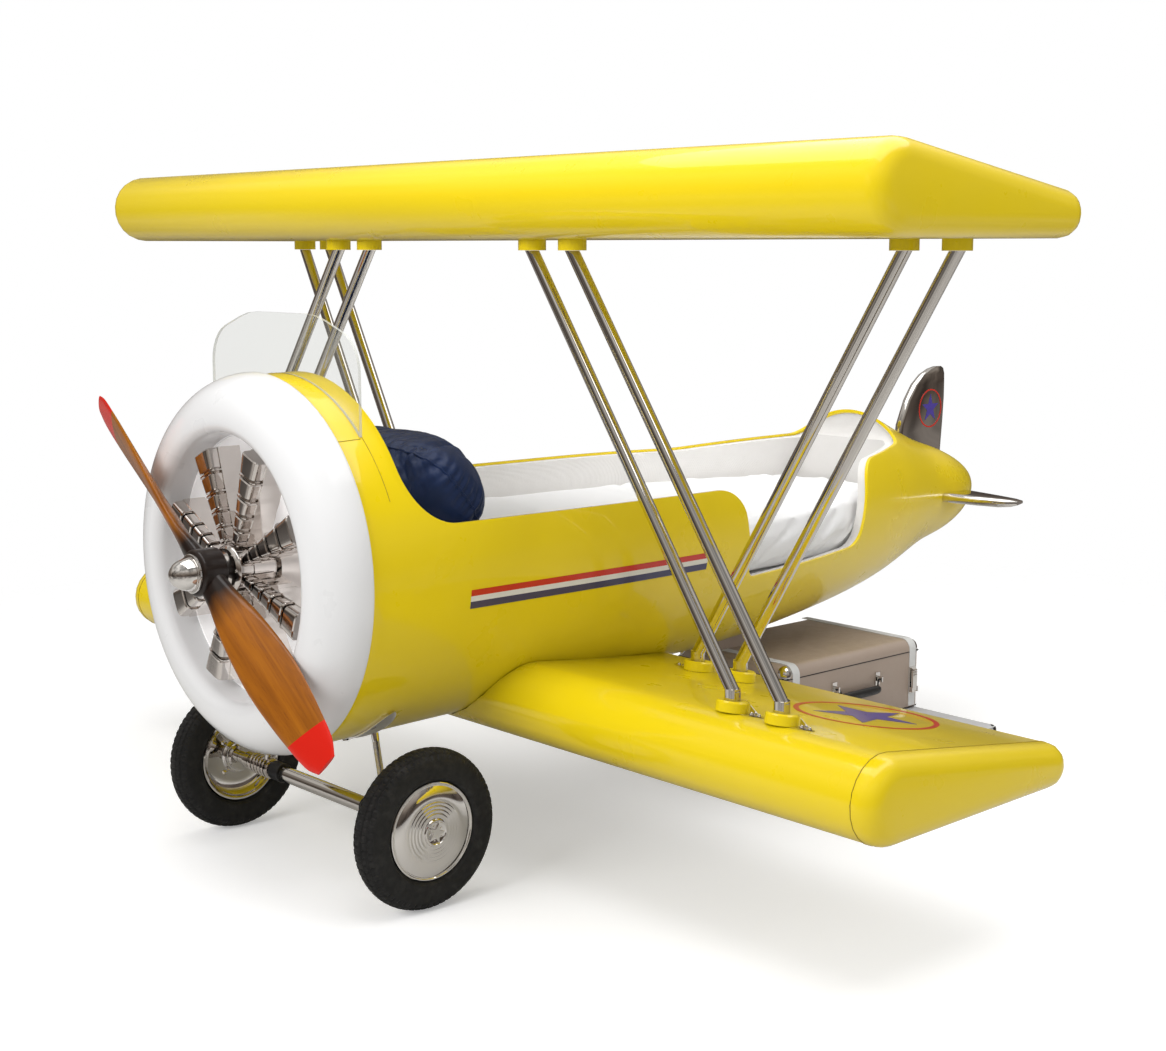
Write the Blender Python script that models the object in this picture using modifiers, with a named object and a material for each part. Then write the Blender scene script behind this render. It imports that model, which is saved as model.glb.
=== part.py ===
# Child's bed built as a biplane: yellow fuselage tub with a mattress, two wings on
# chrome strut tubes, chrome radial engine with a wooden propeller, two front wheels,
# and two stacked travel cases that carry the tail end and serve as steps.
# Metres, +Z up, floor at z = 0, nose towards -Y, entry side towards +X.
import bpy
import bmesh
from math import atan2, cos, hypot, pi, radians, sin, sqrt
from mathutils import Matrix, Vector

for old in list(bpy.data.objects):
    bpy.data.objects.remove(old, do_unlink=True)

# ---------------------------------------------------------------- driving dimensions
DATUM_Y = -1.3130         # rear plane of the white cowl ring; Y values below start here
GAP = 0.0006              # clearance between separate pieces

HULL = [                  # aft of the datum, radius, height of the section centre
    (0.000, 0.468, 0.812), (0.382, 0.471, 0.824), (0.764, 0.476, 0.838),
    (1.146, 0.470, 0.854), (1.528, 0.450, 0.854), (1.910, 0.372, 0.819),
    (2.197, 0.291, 0.791), (2.483, 0.190, 0.775), (2.674, 0.139, 0.768),
    (2.800, 0.080, 0.770), (2.884, 0.000, 0.781)]
HULL_SIDES = 32
SHELL_WALL = 0.010
LINER_WALL = 0.032
CABIN_FRONT = 0.150       # forward end of the sleeping space
CABIN_REAR = 2.225
BED_DECK_Z = 0.668
MATTRESS_TOP_Z = 0.845
RIM_Z = 0.940

RING_R = 0.4775
RING_DEPTH = 0.120
RING_CREST_R = 0.362
RING_LIP_R = 0.331
AXIS_Z = 0.812            # engine and propeller axis

CYLINDERS = 8
CYLINDER_FIRST = 114.9    # degrees up from +X, seen from the front
CYLINDER_ROOT_R = 0.063
CYLINDER_TIP_R = 0.302
CYLINDER_SHARES = (0.0, 0.16, 0.33, 0.52, 0.74, 1.0)  # fin lips, share of the barrel's height
CYLINDER_DEPTH = 0.094
CYLINDER_FACE_Y = -0.099  # front faces of the barrels
PROP_Y = -0.160
PROP_R = 0.632
PROP_ANGLE = -36.3        # degrees up from +X to the near blade
PROP_CHORDS = [(0.045, 0.074), (0.10, 0.082), (0.20, 0.116), (0.34, 0.142),
               (0.45, 0.137), (0.55, 0.118), (0.60, 0.100), (0.632, 0.064)]

SPAN_HALF = 1.569
TIP_FILLET = 0.045
LE_R = 0.100
TE_R = 0.054
UPPER_LE = (0.532, 1.710)
UPPER_TE = (1.102, 1.664)
LOWER_LE = (0.552, 0.4445)
LOWER_TE = (1.124, 0.4094)
CAP_DEPTH = 0.055

STRUT_R = 0.01685
COLLAR_R = 0.0195
DISC_R = 0.039
BOSS_R = 0.035
DISC_T = 0.026
FRONT_ROW = (0.582, 0.575)  # strut row aft of the datum at the upper and lower wing
REAR_ROW = (1.009, 0.980)
# name, row, x at the upper wing, x at the lower wing
STRUTS = [("front_inner", FRONT_ROW, 0.350, 1.060),
          ("front_outer", FRONT_ROW, 0.501, 1.211),
          ("rear_inner", REAR_ROW, 1.176, 0.550),
          ("rear_outer", REAR_ROW, 1.326, 0.704)]

WHEEL_X = 0.433
WHEEL_Y = 0.164
WHEEL_R = 0.200
TYRE_W = 0.080
RIM_R = 0.122
AXLE_R = 0.021

CASE_X = (-0.030, 0.414)
CASE_Y = (1.480, 2.100)
CASE_Z = (0.1715, 0.388)
CASE_SEAM_Z = 0.350
CASE_CORNER_R = 0.020
LID_EDGE_R = 0.030
STEP_CASE_X = (-0.060, 0.715)
STEP_CASE_Z = (0.0, 0.170)

# ---------------------------------------------------------------- helpers
parts = bpy.data.collections.new("biplane_bed")
cutters = bpy.data.collections.new("cutters")
bpy.context.scene.collection.children.link(parts)
bpy.context.scene.collection.children.link(cutters)


def material(name, colour, roughness, metallic, alpha=1.0):
    mat = bpy.data.materials.new(name)
    mat.use_nodes = True
    shader = mat.node_tree.nodes["Principled BSDF"]
    shader.inputs["Base Color"].default_value = (*colour, 1.0)
    shader.inputs["Roughness"].default_value = roughness
    shader.inputs["Metallic"].default_value = metallic
    shader.inputs["Alpha"].default_value = alpha
    return mat


PAINTS = {
    "yellow": ((0.90, 0.70, 0.02), 0.15, 0.0, 1.0),
    "white": ((0.90, 0.90, 0.90), 0.20, 0.0, 1.0),
    "chrome": ((0.80, 0.79, 0.77), 0.08, 1.0, 1.0),
    "wood": ((0.45, 0.18, 0.04), 0.25, 0.0, 1.0),
    "rubber": ((0.02, 0.02, 0.02), 0.75, 0.0, 1.0),
    "acrylic": ((0.85, 0.92, 0.90), 0.05, 0.0, 0.3),
    "navy": ((0.02, 0.04, 0.11), 0.55, 0.0, 1.0),
    "cotton": ((0.86, 0.86, 0.86), 0.85, 0.0, 1.0),
    "padding": ((0.78, 0.78, 0.77), 0.90, 0.0, 1.0),
    "taupe": ((0.34, 0.26, 0.21), 0.45, 0.0, 1.0),
    "black": ((0.02, 0.02, 0.02), 0.45, 0.0, 1.0),
    "grey": ((0.55, 0.55, 0.56), 0.40, 0.0, 1.0)}


def finish(obj, paint, cutter=False):
    """Puts an object in its collection and gives it its own material."""
    if cutter:
        cutters.objects.link(obj)
        obj.hide_render = True
        obj.display_type = "WIRE"
        return obj
    parts.objects.link(obj)
    colour, roughness, metallic, alpha = PAINTS[paint]
    obj.data.materials.append(material(obj.name, colour, roughness, metallic, alpha))
    return obj


def smooth(obj, angle=35.0):
    for face in obj.data.polygons:
        face.use_smooth = True
    obj.data.set_sharp_from_angle(angle=radians(angle))
    return obj


def from_bmesh(name, bm):
    bmesh.ops.recalc_face_normals(bm, faces=bm.faces)
    mesh = bpy.data.meshes.new(name)
    bm.to_mesh(mesh)
    bm.free()
    return smooth(bpy.data.objects.new(name, mesh))


def loft(name, rings):
    """Closed body through rings with the same number of points each."""
    bm = bmesh.new()
    rows = [[bm.verts.new(p) for p in ring] for ring in rings]
    count = len(rows[0])
    for a, b in zip(rows, rows[1:]):
        for i in range(count):
            j = (i + 1) % count
            bm.faces.new((a[i], a[j], b[j], b[i]))
    bm.faces.new(rows[0])
    bm.faces.new(rows[-1])
    return from_bmesh(name, bm)


def to_mesh(obj):
    """Turns a curve object into a welded mesh object with the same name and place."""
    name = obj.name
    place = obj.matrix_world.copy()
    bpy.context.scene.collection.objects.link(obj)
    bpy.context.view_layer.update()
    graph = bpy.context.evaluated_depsgraph_get()
    mesh = bpy.data.meshes.new_from_object(obj.evaluated_get(graph))
    bm = bmesh.new()
    bm.from_mesh(mesh)
    bmesh.ops.remove_doubles(bm, verts=bm.verts, dist=1e-5)
    bmesh.ops.recalc_face_normals(bm, faces=bm.faces)
    bm.to_mesh(mesh)
    bm.free()
    bpy.data.objects.remove(obj, do_unlink=True)
    new = bpy.data.objects.new(name, mesh)
    new.matrix_world = place
    return smooth(new)


def plate(name, points, thickness):
    """Flat outline in the XY plane, thickness centred on z = 0."""
    curve = bpy.data.curves.new(name, "CURVE")
    curve.dimensions = "2D"
    curve.fill_mode = "BOTH"
    curve.extrude = thickness / 2
    spline = curve.splines.new("POLY")
    spline.points.add(len(points) - 1)
    for point, (x, y) in zip(spline.points, points):
        point.co = (x, y, 0.0, 1.0)
    spline.use_cyclic_u = True
    return to_mesh(bpy.data.objects.new(name, curve))


def tube(name, points, radius, resolution=2):
    curve = bpy.data.curves.new(name, "CURVE")
    curve.dimensions = "3D"
    curve.bevel_depth = radius
    curve.bevel_resolution = resolution
    curve.use_fill_caps = True
    spline = curve.splines.new("POLY")
    spline.points.add(len(points) - 1)
    for point, co in zip(spline.points, points):
        point.co = (*co, 1.0)
    return to_mesh(bpy.data.objects.new(name, curve))


def turned(name, profile, steps, closed=False):
    """Screw of a profile of (radius, height) about local Z, outer side top to bottom."""
    mesh = bpy.data.meshes.new(name)
    edges = [(i, i + 1) for i in range(len(profile) - 1)]
    if closed:
        edges.append((len(profile) - 1, 0))
    mesh.from_pydata([(r, 0.0, z) for r, z in profile], edges, [])
    obj = bpy.data.objects.new(name, mesh)
    screw = obj.modifiers.new("turn", "SCREW")
    screw.steps = steps
    screw.render_steps = steps
    screw.use_merge_vertices = True
    screw.merge_threshold = 1e-5
    screw.use_smooth_shade = True
    return obj


def box(name, xs, ys, zs, bevel=0.0, segments=2):
    bm = bmesh.new()
    bmesh.ops.create_cube(bm, size=1.0)
    bmesh.ops.scale(bm, verts=bm.verts, vec=(xs[1] - xs[0], ys[1] - ys[0], zs[1] - zs[0]))
    bmesh.ops.translate(bm, verts=bm.verts,
                        vec=((xs[0] + xs[1]) / 2, (ys[0] + ys[1]) / 2, (zs[0] + zs[1]) / 2))
    obj = from_bmesh(name, bm)
    if bevel:
        add_bevel(obj, bevel, segments)
    return obj


def rod(name, start, end, radius, sides=16):
    """Round bar between two points."""
    start = Vector(start)
    run = Vector(end) - start
    turn = run.to_track_quat("Z", "Y").to_matrix().to_4x4()
    bm = bmesh.new()
    bmesh.ops.create_cone(bm, cap_ends=True, segments=sides, radius1=radius,
                          radius2=radius, depth=run.length)
    bmesh.ops.transform(bm, matrix=Matrix.Translation(start + run / 2) @ turn, verts=bm.verts)
    return from_bmesh(name, bm)


def level_rod(name, start, end, radius, sides=16):
    """Sloping round bar whose two ends are cut level."""
    start = Vector(start)
    end = Vector(end)
    axis = (end - start).normalized()
    turn = axis.to_track_quat("Z", "Y").to_matrix()
    rings = []
    for middle in (start, end):
        ring = []
        for i in range(sides):
            ang = 2 * pi * i / sides
            arm = turn @ Vector((radius * cos(ang), radius * sin(ang), 0))
            ring.append(middle + arm - axis * (arm.z / axis.z))
        rings.append(ring)
    return loft(name, rings)


def add_bevel(obj, width, segments=2, angle=40.0):
    bevel = obj.modifiers.new("bevel", "BEVEL")
    bevel.width = width
    bevel.segments = segments
    bevel.limit_method = "ANGLE"
    bevel.angle_limit = radians(angle)
    return obj


def boolean(obj, other, operation):
    mod = obj.modifiers.new(operation.lower(), "BOOLEAN")
    mod.operation = operation
    mod.solver = "EXACT"
    if isinstance(other, bpy.types.Collection):
        mod.operand_type = "COLLECTION"
        mod.collection = other
    else:
        mod.object = other
    return obj


def group(name, objects):
    """Collection of cutter bodies used together by one boolean."""
    col = bpy.data.collections.new(name)
    cutters.children.link(col)
    for obj in objects:
        col.objects.link(obj)
        obj.hide_render = True
        obj.display_type = "WIRE"
    return col


def join_all(obj, objects):
    boolean(obj, group(obj.name + "_parts", objects), "UNION")
    return obj


def rounded(points, step=15.0):
    """Closed outline through (a, b, radius) corners, the radii drawn as arcs."""
    out = []
    count = len(points)
    for i, (a, b, radius) in enumerate(points):
        here = Vector((a, b))
        if radius <= 0:
            out.append((a, b))
            continue
        before = (Vector(points[i - 1][:2]) - here).normalized()
        after = (Vector(points[(i + 1) % count][:2]) - here).normalized()
        half = before.angle(after) / 2
        reach = radius / (sin(half) / cos(half))
        centre = here + (before + after).normalized() * (radius / sin(half))
        start = here + before * reach - centre
        end = here + after * reach - centre
        first = atan2(start.y, start.x)
        sweep = (atan2(end.y, end.x) - first + pi) % (2 * pi) - pi
        parts_of_arc = max(2, round(abs(sweep) / radians(step)))
        for k in range(parts_of_arc + 1):
            ang = first + sweep * k / parts_of_arc
            out.append((centre.x + radius * cos(ang), centre.y + radius * sin(ang)))
    return out


def hermite(knots, t, column):
    """Smooth value of one column of a knot list at t."""
    last = len(knots) - 1
    i = 0
    while i < last - 1 and t > knots[i + 1][0]:
        i += 1

    def slope(j):
        a = knots[max(j - 1, 0)]
        b = knots[min(j + 1, last)]
        return (b[column] - a[column]) / (b[0] - a[0])

    span = knots[i + 1][0] - knots[i][0]
    u = (t - knots[i][0]) / span
    v0, v1 = knots[i][column], knots[i + 1][column]
    d0, d1 = slope(i) * span, slope(i + 1) * span
    return ((2 * u ** 3 - 3 * u ** 2 + 1) * v0 + (u ** 3 - 2 * u ** 2 + u) * d0
            + (3 * u ** 2 - 2 * u ** 3) * v1 + (u ** 3 - u ** 2) * d1)


def hull_at(y):
    return hermite(HULL, y, 1), hermite(HULL, y, 2)


def hull_point(y, angle, offset=0.0):
    """Point on the hull at an angle up from +X, offset outwards."""
    radius, centre = hull_at(y)
    return Vector(((radius + offset) * cos(angle), DATUM_Y + y,
                   centre + (radius + offset) * sin(angle)))


def hull_ring(y, offset, floor=None, ceiling=None):
    out = []
    for i in range(HULL_SIDES):
        point = hull_point(y, 2 * pi * (i + 0.5) / HULL_SIDES, offset)
        if floor is not None:
            point.z = max(point.z, floor)
        if ceiling is not None:
            point.z = min(point.z, ceiling)
        out.append(point)
    return out


TAIL_STATIONS = [2.07, 2.21, 2.35, 2.483, 2.60, 2.70, 2.78, 2.835, 2.868]


def hull_body(name, offset, tail_first=0.0):
    """Full-length hull, grown by an offset, as a closed body."""
    first = [tail_first, 0.25, 0.55, 0.85, 1.15, 1.40, 1.60, 1.78, 1.93]
    rings = [hull_ring(y, offset) for y in first + TAIL_STATIONS]
    tip = hull_ring(2.884, 0.0)
    middle = sum(tip, Vector()) / len(tip)
    rings.append([middle + (p - middle).normalized() * (0.003 + offset) for p in tip])
    return loft(name, rings)


# ---------------------------------------------------------------- fuselage
def opening(name, corners, xs):
    """Prism through the side-view outline (aft of datum, height) over a range of X."""
    obj = plate(name, rounded(corners), xs[1] - xs[0])
    obj.matrix_world = (Matrix.Translation(((xs[0] + xs[1]) / 2, DATUM_Y, 0))
                        @ Matrix(((0, 0, 1, 0), (1, 0, 0, 0), (0, 1, 0, 0), (0, 0, 0, 1))))
    return obj


def openings(tag, drop, grow):
    """Cockpit opening with the low entry on the +X side."""
    front = 0.128 - grow
    rear = 2.258 + grow
    rim = RIM_Z - drop
    far = [(front, 1.5, 0), (front, rim, 0.14), (1.80, rim, 0.6),
           (rear - 0.024, rim + 0.036, 0.05), (rear, 1.5, 0)]
    near = [(front, 1.5, 0), (front, rim, 0.14), (1.235, rim, 0.11),
            (1.298, 0.678 - drop, 0.035), (1.846 + grow, 0.704 - drop, 0.06),
            (1.886 + grow, rim + 0.015, 0.08), (rear - 0.024, rim + 0.036, 0.05),
            (rear, 1.5, 0)]
    return group(tag, [opening(tag + "_far", far, (-0.7, 0.001)),
                       opening(tag + "_near", near, (0.0, 0.7))])


CABIN_STATIONS = [0.50, 1.00, 1.40, 1.70, 1.95, 2.10]

shell = hull_body("fuselage_shell", 0.0, tail_first=GAP)
cavity = loft("hull_cavity", [hull_ring(y, -SHELL_WALL)
                              for y in [0.0, 0.20] + CABIN_STATIONS
                              + [2.197, CABIN_REAR + 0.035]])
for vert in cavity.data.vertices:
    if vert.co.y < DATUM_Y + 0.001:
        vert.co.y -= 0.02
finish(cavity, None, cutter=True)
boolean(shell, cavity, "DIFFERENCE")
boolean(shell, openings("cockpit_opening", 0.0, 0.0), "DIFFERENCE")
finish(shell, "yellow")

liner = loft("cockpit_liner", [hull_ring(y, -SHELL_WALL - GAP) for y in
                               [CABIN_FRONT - 0.020, 0.20] + CABIN_STATIONS
                               + [2.197, CABIN_REAR + 0.034]])
room = loft("liner_room", [hull_ring(y, -SHELL_WALL - LINER_WALL, floor=BED_DECK_Z)
                           for y in [CABIN_FRONT, 0.20] + CABIN_STATIONS
                           + [2.16, CABIN_REAR]])
finish(room, None, cutter=True)
boolean(liner, room, "DIFFERENCE")
boolean(liner, openings("liner_opening", 0.002, 0.002), "DIFFERENCE")
finish(liner, "padding")

mattress = loft("mattress", [hull_ring(y, -SHELL_WALL - LINER_WALL - 0.009,
                                       floor=BED_DECK_Z + 0.006, ceiling=MATTRESS_TOP_Z)
                             for y in [CABIN_FRONT + 0.010, 0.20] + CABIN_STATIONS
                             + [2.14, 2.185]])
finish(mattress, "cotton")

# Puffy quilt leant against the hood.
QUILT_HALF = (0.392, 0.136, 0.165)
QUILT_MIDDLE = (0.0, 0.343, 0.990)
QUILT_LEAN = 38.0         # degrees, top towards the nose
bm = bmesh.new()
bmesh.ops.create_uvsphere(bm, u_segments=20, v_segments=10, radius=1.0)
for vert in bm.verts:
    x, y, z = vert.co
    boxy = [abs(v) ** 0.62 * (1 if v > 0 else -1) for v in (x, z)]
    vert.co = (QUILT_HALF[0] * boxy[0], QUILT_HALF[1] * y, QUILT_HALF[2] * boxy[1])
bmesh.ops.transform(bm, verts=bm.verts, matrix=Matrix.Translation(
    (QUILT_MIDDLE[0], DATUM_Y + QUILT_MIDDLE[1], QUILT_MIDDLE[2]))
    @ Matrix.Rotation(radians(QUILT_LEAN), 4, "X"))
for vert in bm.verts:
    vert.co.z = max(vert.co.z, MATTRESS_TOP_Z + 0.001)
finish(from_bmesh("quilt", bm), "navy")

# Curved acrylic screen standing in the hood seam.
screen_y = 0.070
screen_r, screen_c = hull_at(screen_y)
SCREEN_HALF = 0.330
screen = [(-SCREEN_HALF, 1.190, 0), (-SCREEN_HALF, 1.370, 0.10), (-0.150, 1.432, 0.25),
          (0.150, 1.432, 0.25), (SCREEN_HALF, 1.370, 0.10), (SCREEN_HALF, 1.190, 0)]
outline = rounded(screen, step=12)
foot_r = screen_r + 0.0018
half = atan2(sqrt(foot_r ** 2 - SCREEN_HALF ** 2), SCREEN_HALF)
foot = []
for i in range(17):
    ang = half + (pi - 2 * half) * i / 16
    foot.append((foot_r * cos(ang), screen_c + foot_r * sin(ang)))
outline = [p for p in outline if p[1] > 1.2] + foot
windshield = plate("windshield", outline, 0.008)
windshield.matrix_world = (Matrix.Translation((0, DATUM_Y + screen_y, 0))
                           @ Matrix(((1, 0, 0, 0), (0, 0, 1, 0), (0, 1, 0, 0), (0, 0, 0, 1))))
finish(windshield, "acrylic")

# ---------------------------------------------------------------- cowl and engine
FRONTWARDS = Matrix(((1, 0, 0, 0), (0, 0, -1, 0), (0, 1, 0, 0), (0, 0, 0, 1)))


def on_axis(obj, y=0.0):
    """Turns a body made about Z so that its top faces the nose (-Y)."""
    obj.matrix_world = Matrix.Translation((0, DATUM_Y + y, AXIS_Z)) @ FRONTWARDS
    return obj


ring_profile = []
for i in range(7):
    ang = radians(90 - 15 * i)
    ring_profile.append((RING_CREST_R + (RING_R - RING_CREST_R) * cos(ang),
                         RING_DEPTH * sin(ang)))
ring_profile += [(RING_LIP_R, 0.0)]
for i in range(4):
    ang = radians(180 - 22.5 * i)
    ring_profile.append((RING_CREST_R + (RING_CREST_R - RING_LIP_R) * cos(ang),
                         RING_DEPTH - 0.034 + 0.034 * sin(ang)))
finish(on_axis(turned("cowl_ring", ring_profile, 40, closed=True)), "white")

well_profile = [(0.0, -0.098), (0.08, -0.098), (0.235, -0.089), (0.298, -0.056),
                (0.322, 0.010), (0.326, 0.030), (0.330, 0.030), (0.330, -0.006),
                (0.305, -0.064), (0.24, -0.097), (0.08, -0.106), (0.0, -0.106)]
finish(on_axis(turned("cowl_well", well_profile, 40)), "white")

crank_profile = [(0.0, 0.118), (0.034, 0.118), (0.040, 0.112), (0.048, 0.108), (0.060, 0.098),
                 (0.061, 0.088), (0.061, 0.000), (0.075, -0.006), (0.085, -0.0965),
                 (0.0, -0.0965)]
finish(on_axis(turned("engine_crankcase", crank_profile, 20)), "chrome")


def cylinder_outline():
    """Half-outline of a finned barrel, widening outwards in steps."""
    right = [(0.0125, CYLINDER_ROOT_R)]
    rise = CYLINDER_TIP_R - CYLINDER_ROOT_R
    for first, last in zip(CYLINDER_SHARES, CYLINDER_SHARES[1:]):
        low = CYLINDER_ROOT_R + rise * first
        high = CYLINDER_ROOT_R + rise * last
        wide = 0.0125 + 0.0215 * last
        lip = wide + 0.004
        right += [(wide, low + 0.004), (wide, high - 0.012), (lip, high - 0.010), (lip, high)]
    left = [(-x, r) for x, r in reversed(right)]
    return right + left


for index in range(CYLINDERS):
    angle = radians(CYLINDER_FIRST - index * 360.0 / CYLINDERS)
    barrel = plate("engine_cylinder_%d" % (index + 1), cylinder_outline(), CYLINDER_DEPTH)
    out = Vector((cos(angle), 0, sin(angle)))
    side = Vector((sin(angle), 0, -cos(angle)))
    aft = side.cross(out)
    frame = Matrix((side, out, aft)).transposed().to_4x4()
    middle = DATUM_Y + CYLINDER_FACE_Y + CYLINDER_DEPTH / 2
    barrel.matrix_world = Matrix.Translation((0, middle, AXIS_Z)) @ frame
    finish(barrel, "chrome")


# ---------------------------------------------------------------- propeller
def prop_chord(r):
    return hermite(PROP_CHORDS, r, 1)


def blade_ring(r):
    """Lens section of the propeller at a radius; negative radii are the other blade."""
    reach = abs(r)
    side = 1.0 if r >= 0 else -1.0
    chord = prop_chord(max(reach, 0.045)) / 2
    thick = 0.020 - 0.015 * min(reach / PROP_R, 1.0)
    pitch = radians(52 - 34 * min(reach / PROP_R, 1.0) ** 0.8)
    root = max(0.0, 1.0 - reach / 0.13)
    thick = thick * (1 - root) + 0.030 * root
    pitch = pitch * (1 - root) + radians(12) * root
    pitch *= side
    along = Vector((cos(radians(PROP_ANGLE)), 0, sin(radians(PROP_ANGLE))))
    across = Vector((-along.z, 0, along.x))
    forward = Vector((0, 1, 0))
    chord_dir = across * cos(pitch) + forward * sin(pitch)
    thick_dir = forward * cos(pitch) - across * sin(pitch)
    ring = []
    for i in range(10):
        ang = 2 * pi * i / 10
        ring.append(along * r + chord_dir * chord * cos(ang) + thick_dir * thick * sin(ang))
    return ring


radii = [0.632, 0.610, 0.57, 0.51, 0.44, 0.35, 0.25, 0.17, 0.11, 0.06]
blades = loft("propeller", [blade_ring(-r) for r in radii] + [blade_ring(0.0)]
              + [blade_ring(r) for r in reversed(radii)])
boss = rod("propeller_boss", (0, 0.034, 0), (0, -0.034, 0), 0.058, 18)
bpy.context.view_layer.update()
finish(boss, None, cutter=True)
boolean(blades, boss, "UNION")
blades.location = (0, DATUM_Y + PROP_Y - 0.004, AXIS_Z)
boss.location = blades.location
finish(blades, "wood")

spinner_profile = [(0.0, 0.261), (0.012, 0.2580), (0.023, 0.2505), (0.032, 0.2395),
                   (0.038, 0.2275), (0.0415, 0.2150), (0.0425, 0.2060), (0.0475, 0.2050),
                   (0.0485, 0.2035), (0.0485, 0.1990), (0.0, 0.1990)]
spinner = turned("spinner", spinner_profile, 18)
spinner.matrix_world = Matrix.Translation((0, DATUM_Y, AXIS_Z)) @ FRONTWARDS
finish(spinner, "chrome")

# ---------------------------------------------------------------- wings
def wing_section(le, te, r_le, r_te, inset, n_le=12, n_te=8):
    """Section outline around two circles: (aft of datum, height) points."""
    run = Vector((te[0] - le[0], te[1] - le[1]))
    tilt = atan2(run.y, run.x)
    lean = atan2(r_le - r_te, sqrt(run.length ** 2 - (r_le - r_te) ** 2))
    top = tilt + pi / 2 - lean
    bottom = tilt - pi / 2 + lean
    out = []
    for i in range(n_le + 1):
        ang = top + (2 * pi + bottom - top) * i / n_le
        out.append((le[0] + (r_le - inset) * cos(ang), le[1] + (r_le - inset) * sin(ang)))
    for i in range(n_te + 1):
        ang = bottom + (top - bottom) * i / n_te
        out.append((te[0] + (r_te - inset) * cos(ang), te[1] + (r_te - inset) * sin(ang)))
    return out


def wing_ring(x, le, te, inset):
    return [Vector((x, DATUM_Y + y, z)) for y, z in wing_section(le, te, LE_R, TE_R, inset)]


def tip_rings(le, te, side, start):
    """Rings from a start distance out to the rounded tip."""
    rings = [wing_ring(side * start, le, te, 0.0)]
    for i in range(5):
        ang = radians(90.0 * i / 4)
        rings.append(wing_ring(side * (SPAN_HALF - TIP_FILLET * (1 - sin(ang))), le, te,
                               TIP_FILLET * (1 - cos(ang))))
    return rings


def wing_top_z(y):
    """Height of the lower wing's sloping top at a distance aft of the datum."""
    run = Vector((LOWER_TE[0] - LOWER_LE[0], LOWER_TE[1] - LOWER_LE[1]))
    tilt = atan2(run.y, run.x)
    lean = atan2(LE_R - TE_R, sqrt(run.length ** 2 - (LE_R - TE_R) ** 2))
    ang = tilt + pi / 2 - lean
    y0 = LOWER_LE[0] + LE_R * cos(ang)
    z0 = LOWER_LE[1] + LE_R * sin(ang)
    return z0 + (y - y0) * sin(tilt - lean) / cos(tilt - lean), tilt - lean


far_tip = tip_rings(UPPER_LE, UPPER_TE, -1, 0.8)
near_tip = tip_rings(UPPER_LE, UPPER_TE, 1, 0.8)
upper_wing = loft("upper_wing", list(reversed(far_tip)) + near_tip)
upper_bottom_z = UPPER_LE[1] - LE_R + 0.001
bosses = []
for label, row, x_top, x_low in STRUTS:
    for side, word in ((1, "near"), (-1, "far")):
        low = upper_bottom_z - DISC_T - 0.002
        bosses.append(rod("boss_%s_%s" % (word, label), (side * x_top, DATUM_Y + row[0], low),
                          (side * x_top, DATUM_Y + row[0], upper_bottom_z + 0.02), BOSS_R, 16))
join_all(upper_wing, bosses)
finish(upper_wing, "yellow")

lower_wing = loft("lower_wing", [wing_ring(x, LOWER_LE, LOWER_TE, 0.0) for x in
                                 (-(SPAN_HALF - CAP_DEPTH), SPAN_HALF - CAP_DEPTH)])
hull_clear = hull_body("hull_clearance", 0.0025, tail_first=0.01)
finish(hull_clear, None, cutter=True)
boolean(lower_wing, hull_clear, "DIFFERENCE")
finish(lower_wing, "yellow")
for side, word in ((1, "near"), (-1, "far")):
    rings = tip_rings(LOWER_LE, LOWER_TE, side, SPAN_HALF - CAP_DEPTH + GAP)
    finish(loft("lower_wing_cap_" + word, rings), "yellow")


# ---------------------------------------------------------------- struts
def bored_disc(name, foot):
    """Round flange with an upright bore for the strut collar."""
    profile = [(0.0, DISC_T), (DISC_R - 0.004, DISC_T), (DISC_R, DISC_T - 0.004),
               (DISC_R, 0.0), (0.0, 0.0)]
    disc = turned(name, profile, 16)
    bore = rod(name + "_bore", foot - Vector((0, 0, 0.05)), foot + Vector((0, 0, 0.08)),
               COLLAR_R + GAP, 12)
    finish(bore, None, cutter=True)
    return boolean(disc, bore, "DIFFERENCE")


for label, row, x_top, x_low in STRUTS:
    for side, word in ((1, "near"), (-1, "far")):
        surface, slope = wing_top_z(row[1])
        foot = Vector((side * x_low, DATUM_Y + row[1], surface + 0.004))
        disc = bored_disc("mount_disc_%s_%s" % (word, label), foot)
        disc.matrix_world = (Matrix.Translation((side * x_low, DATUM_Y + row[1], surface + GAP))
                             @ Matrix.Rotation(slope, 4, "X"))
        finish(disc, "yellow")
        collar_top = foot + Vector((0, 0, DISC_T + 0.018))
        top = Vector((side * x_top, DATUM_Y + row[0], upper_bottom_z - DISC_T - 0.0025))
        bar = level_rod("strut_%s_%s" % (word, label), collar_top, top, STRUT_R, 12)
        collar = rod("collar_%s_%s" % (word, label), foot, collar_top + Vector((0, 0, 0.006)),
                     COLLAR_R, 12)
        finish(collar, None, cutter=True)
        boolean(bar, collar, "UNION")
        finish(bar, "chrome")

# ---------------------------------------------------------------- tail surfaces
def vane(name, stations, r_le, r_te, place):
    """Loft of chord stations (span, leading edge, trailing edge, thickness factor)."""
    rings = []
    for span, lead, trail, factor in stations:
        a, b = r_le * factor, r_te * factor
        section = wing_section((lead + a, 0.0), (trail - b, 0.0), a, b, 0.0, 8, 4)
        rings.append([place(span, y, t) for y, t in section])
    return loft(name, rings)


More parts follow.
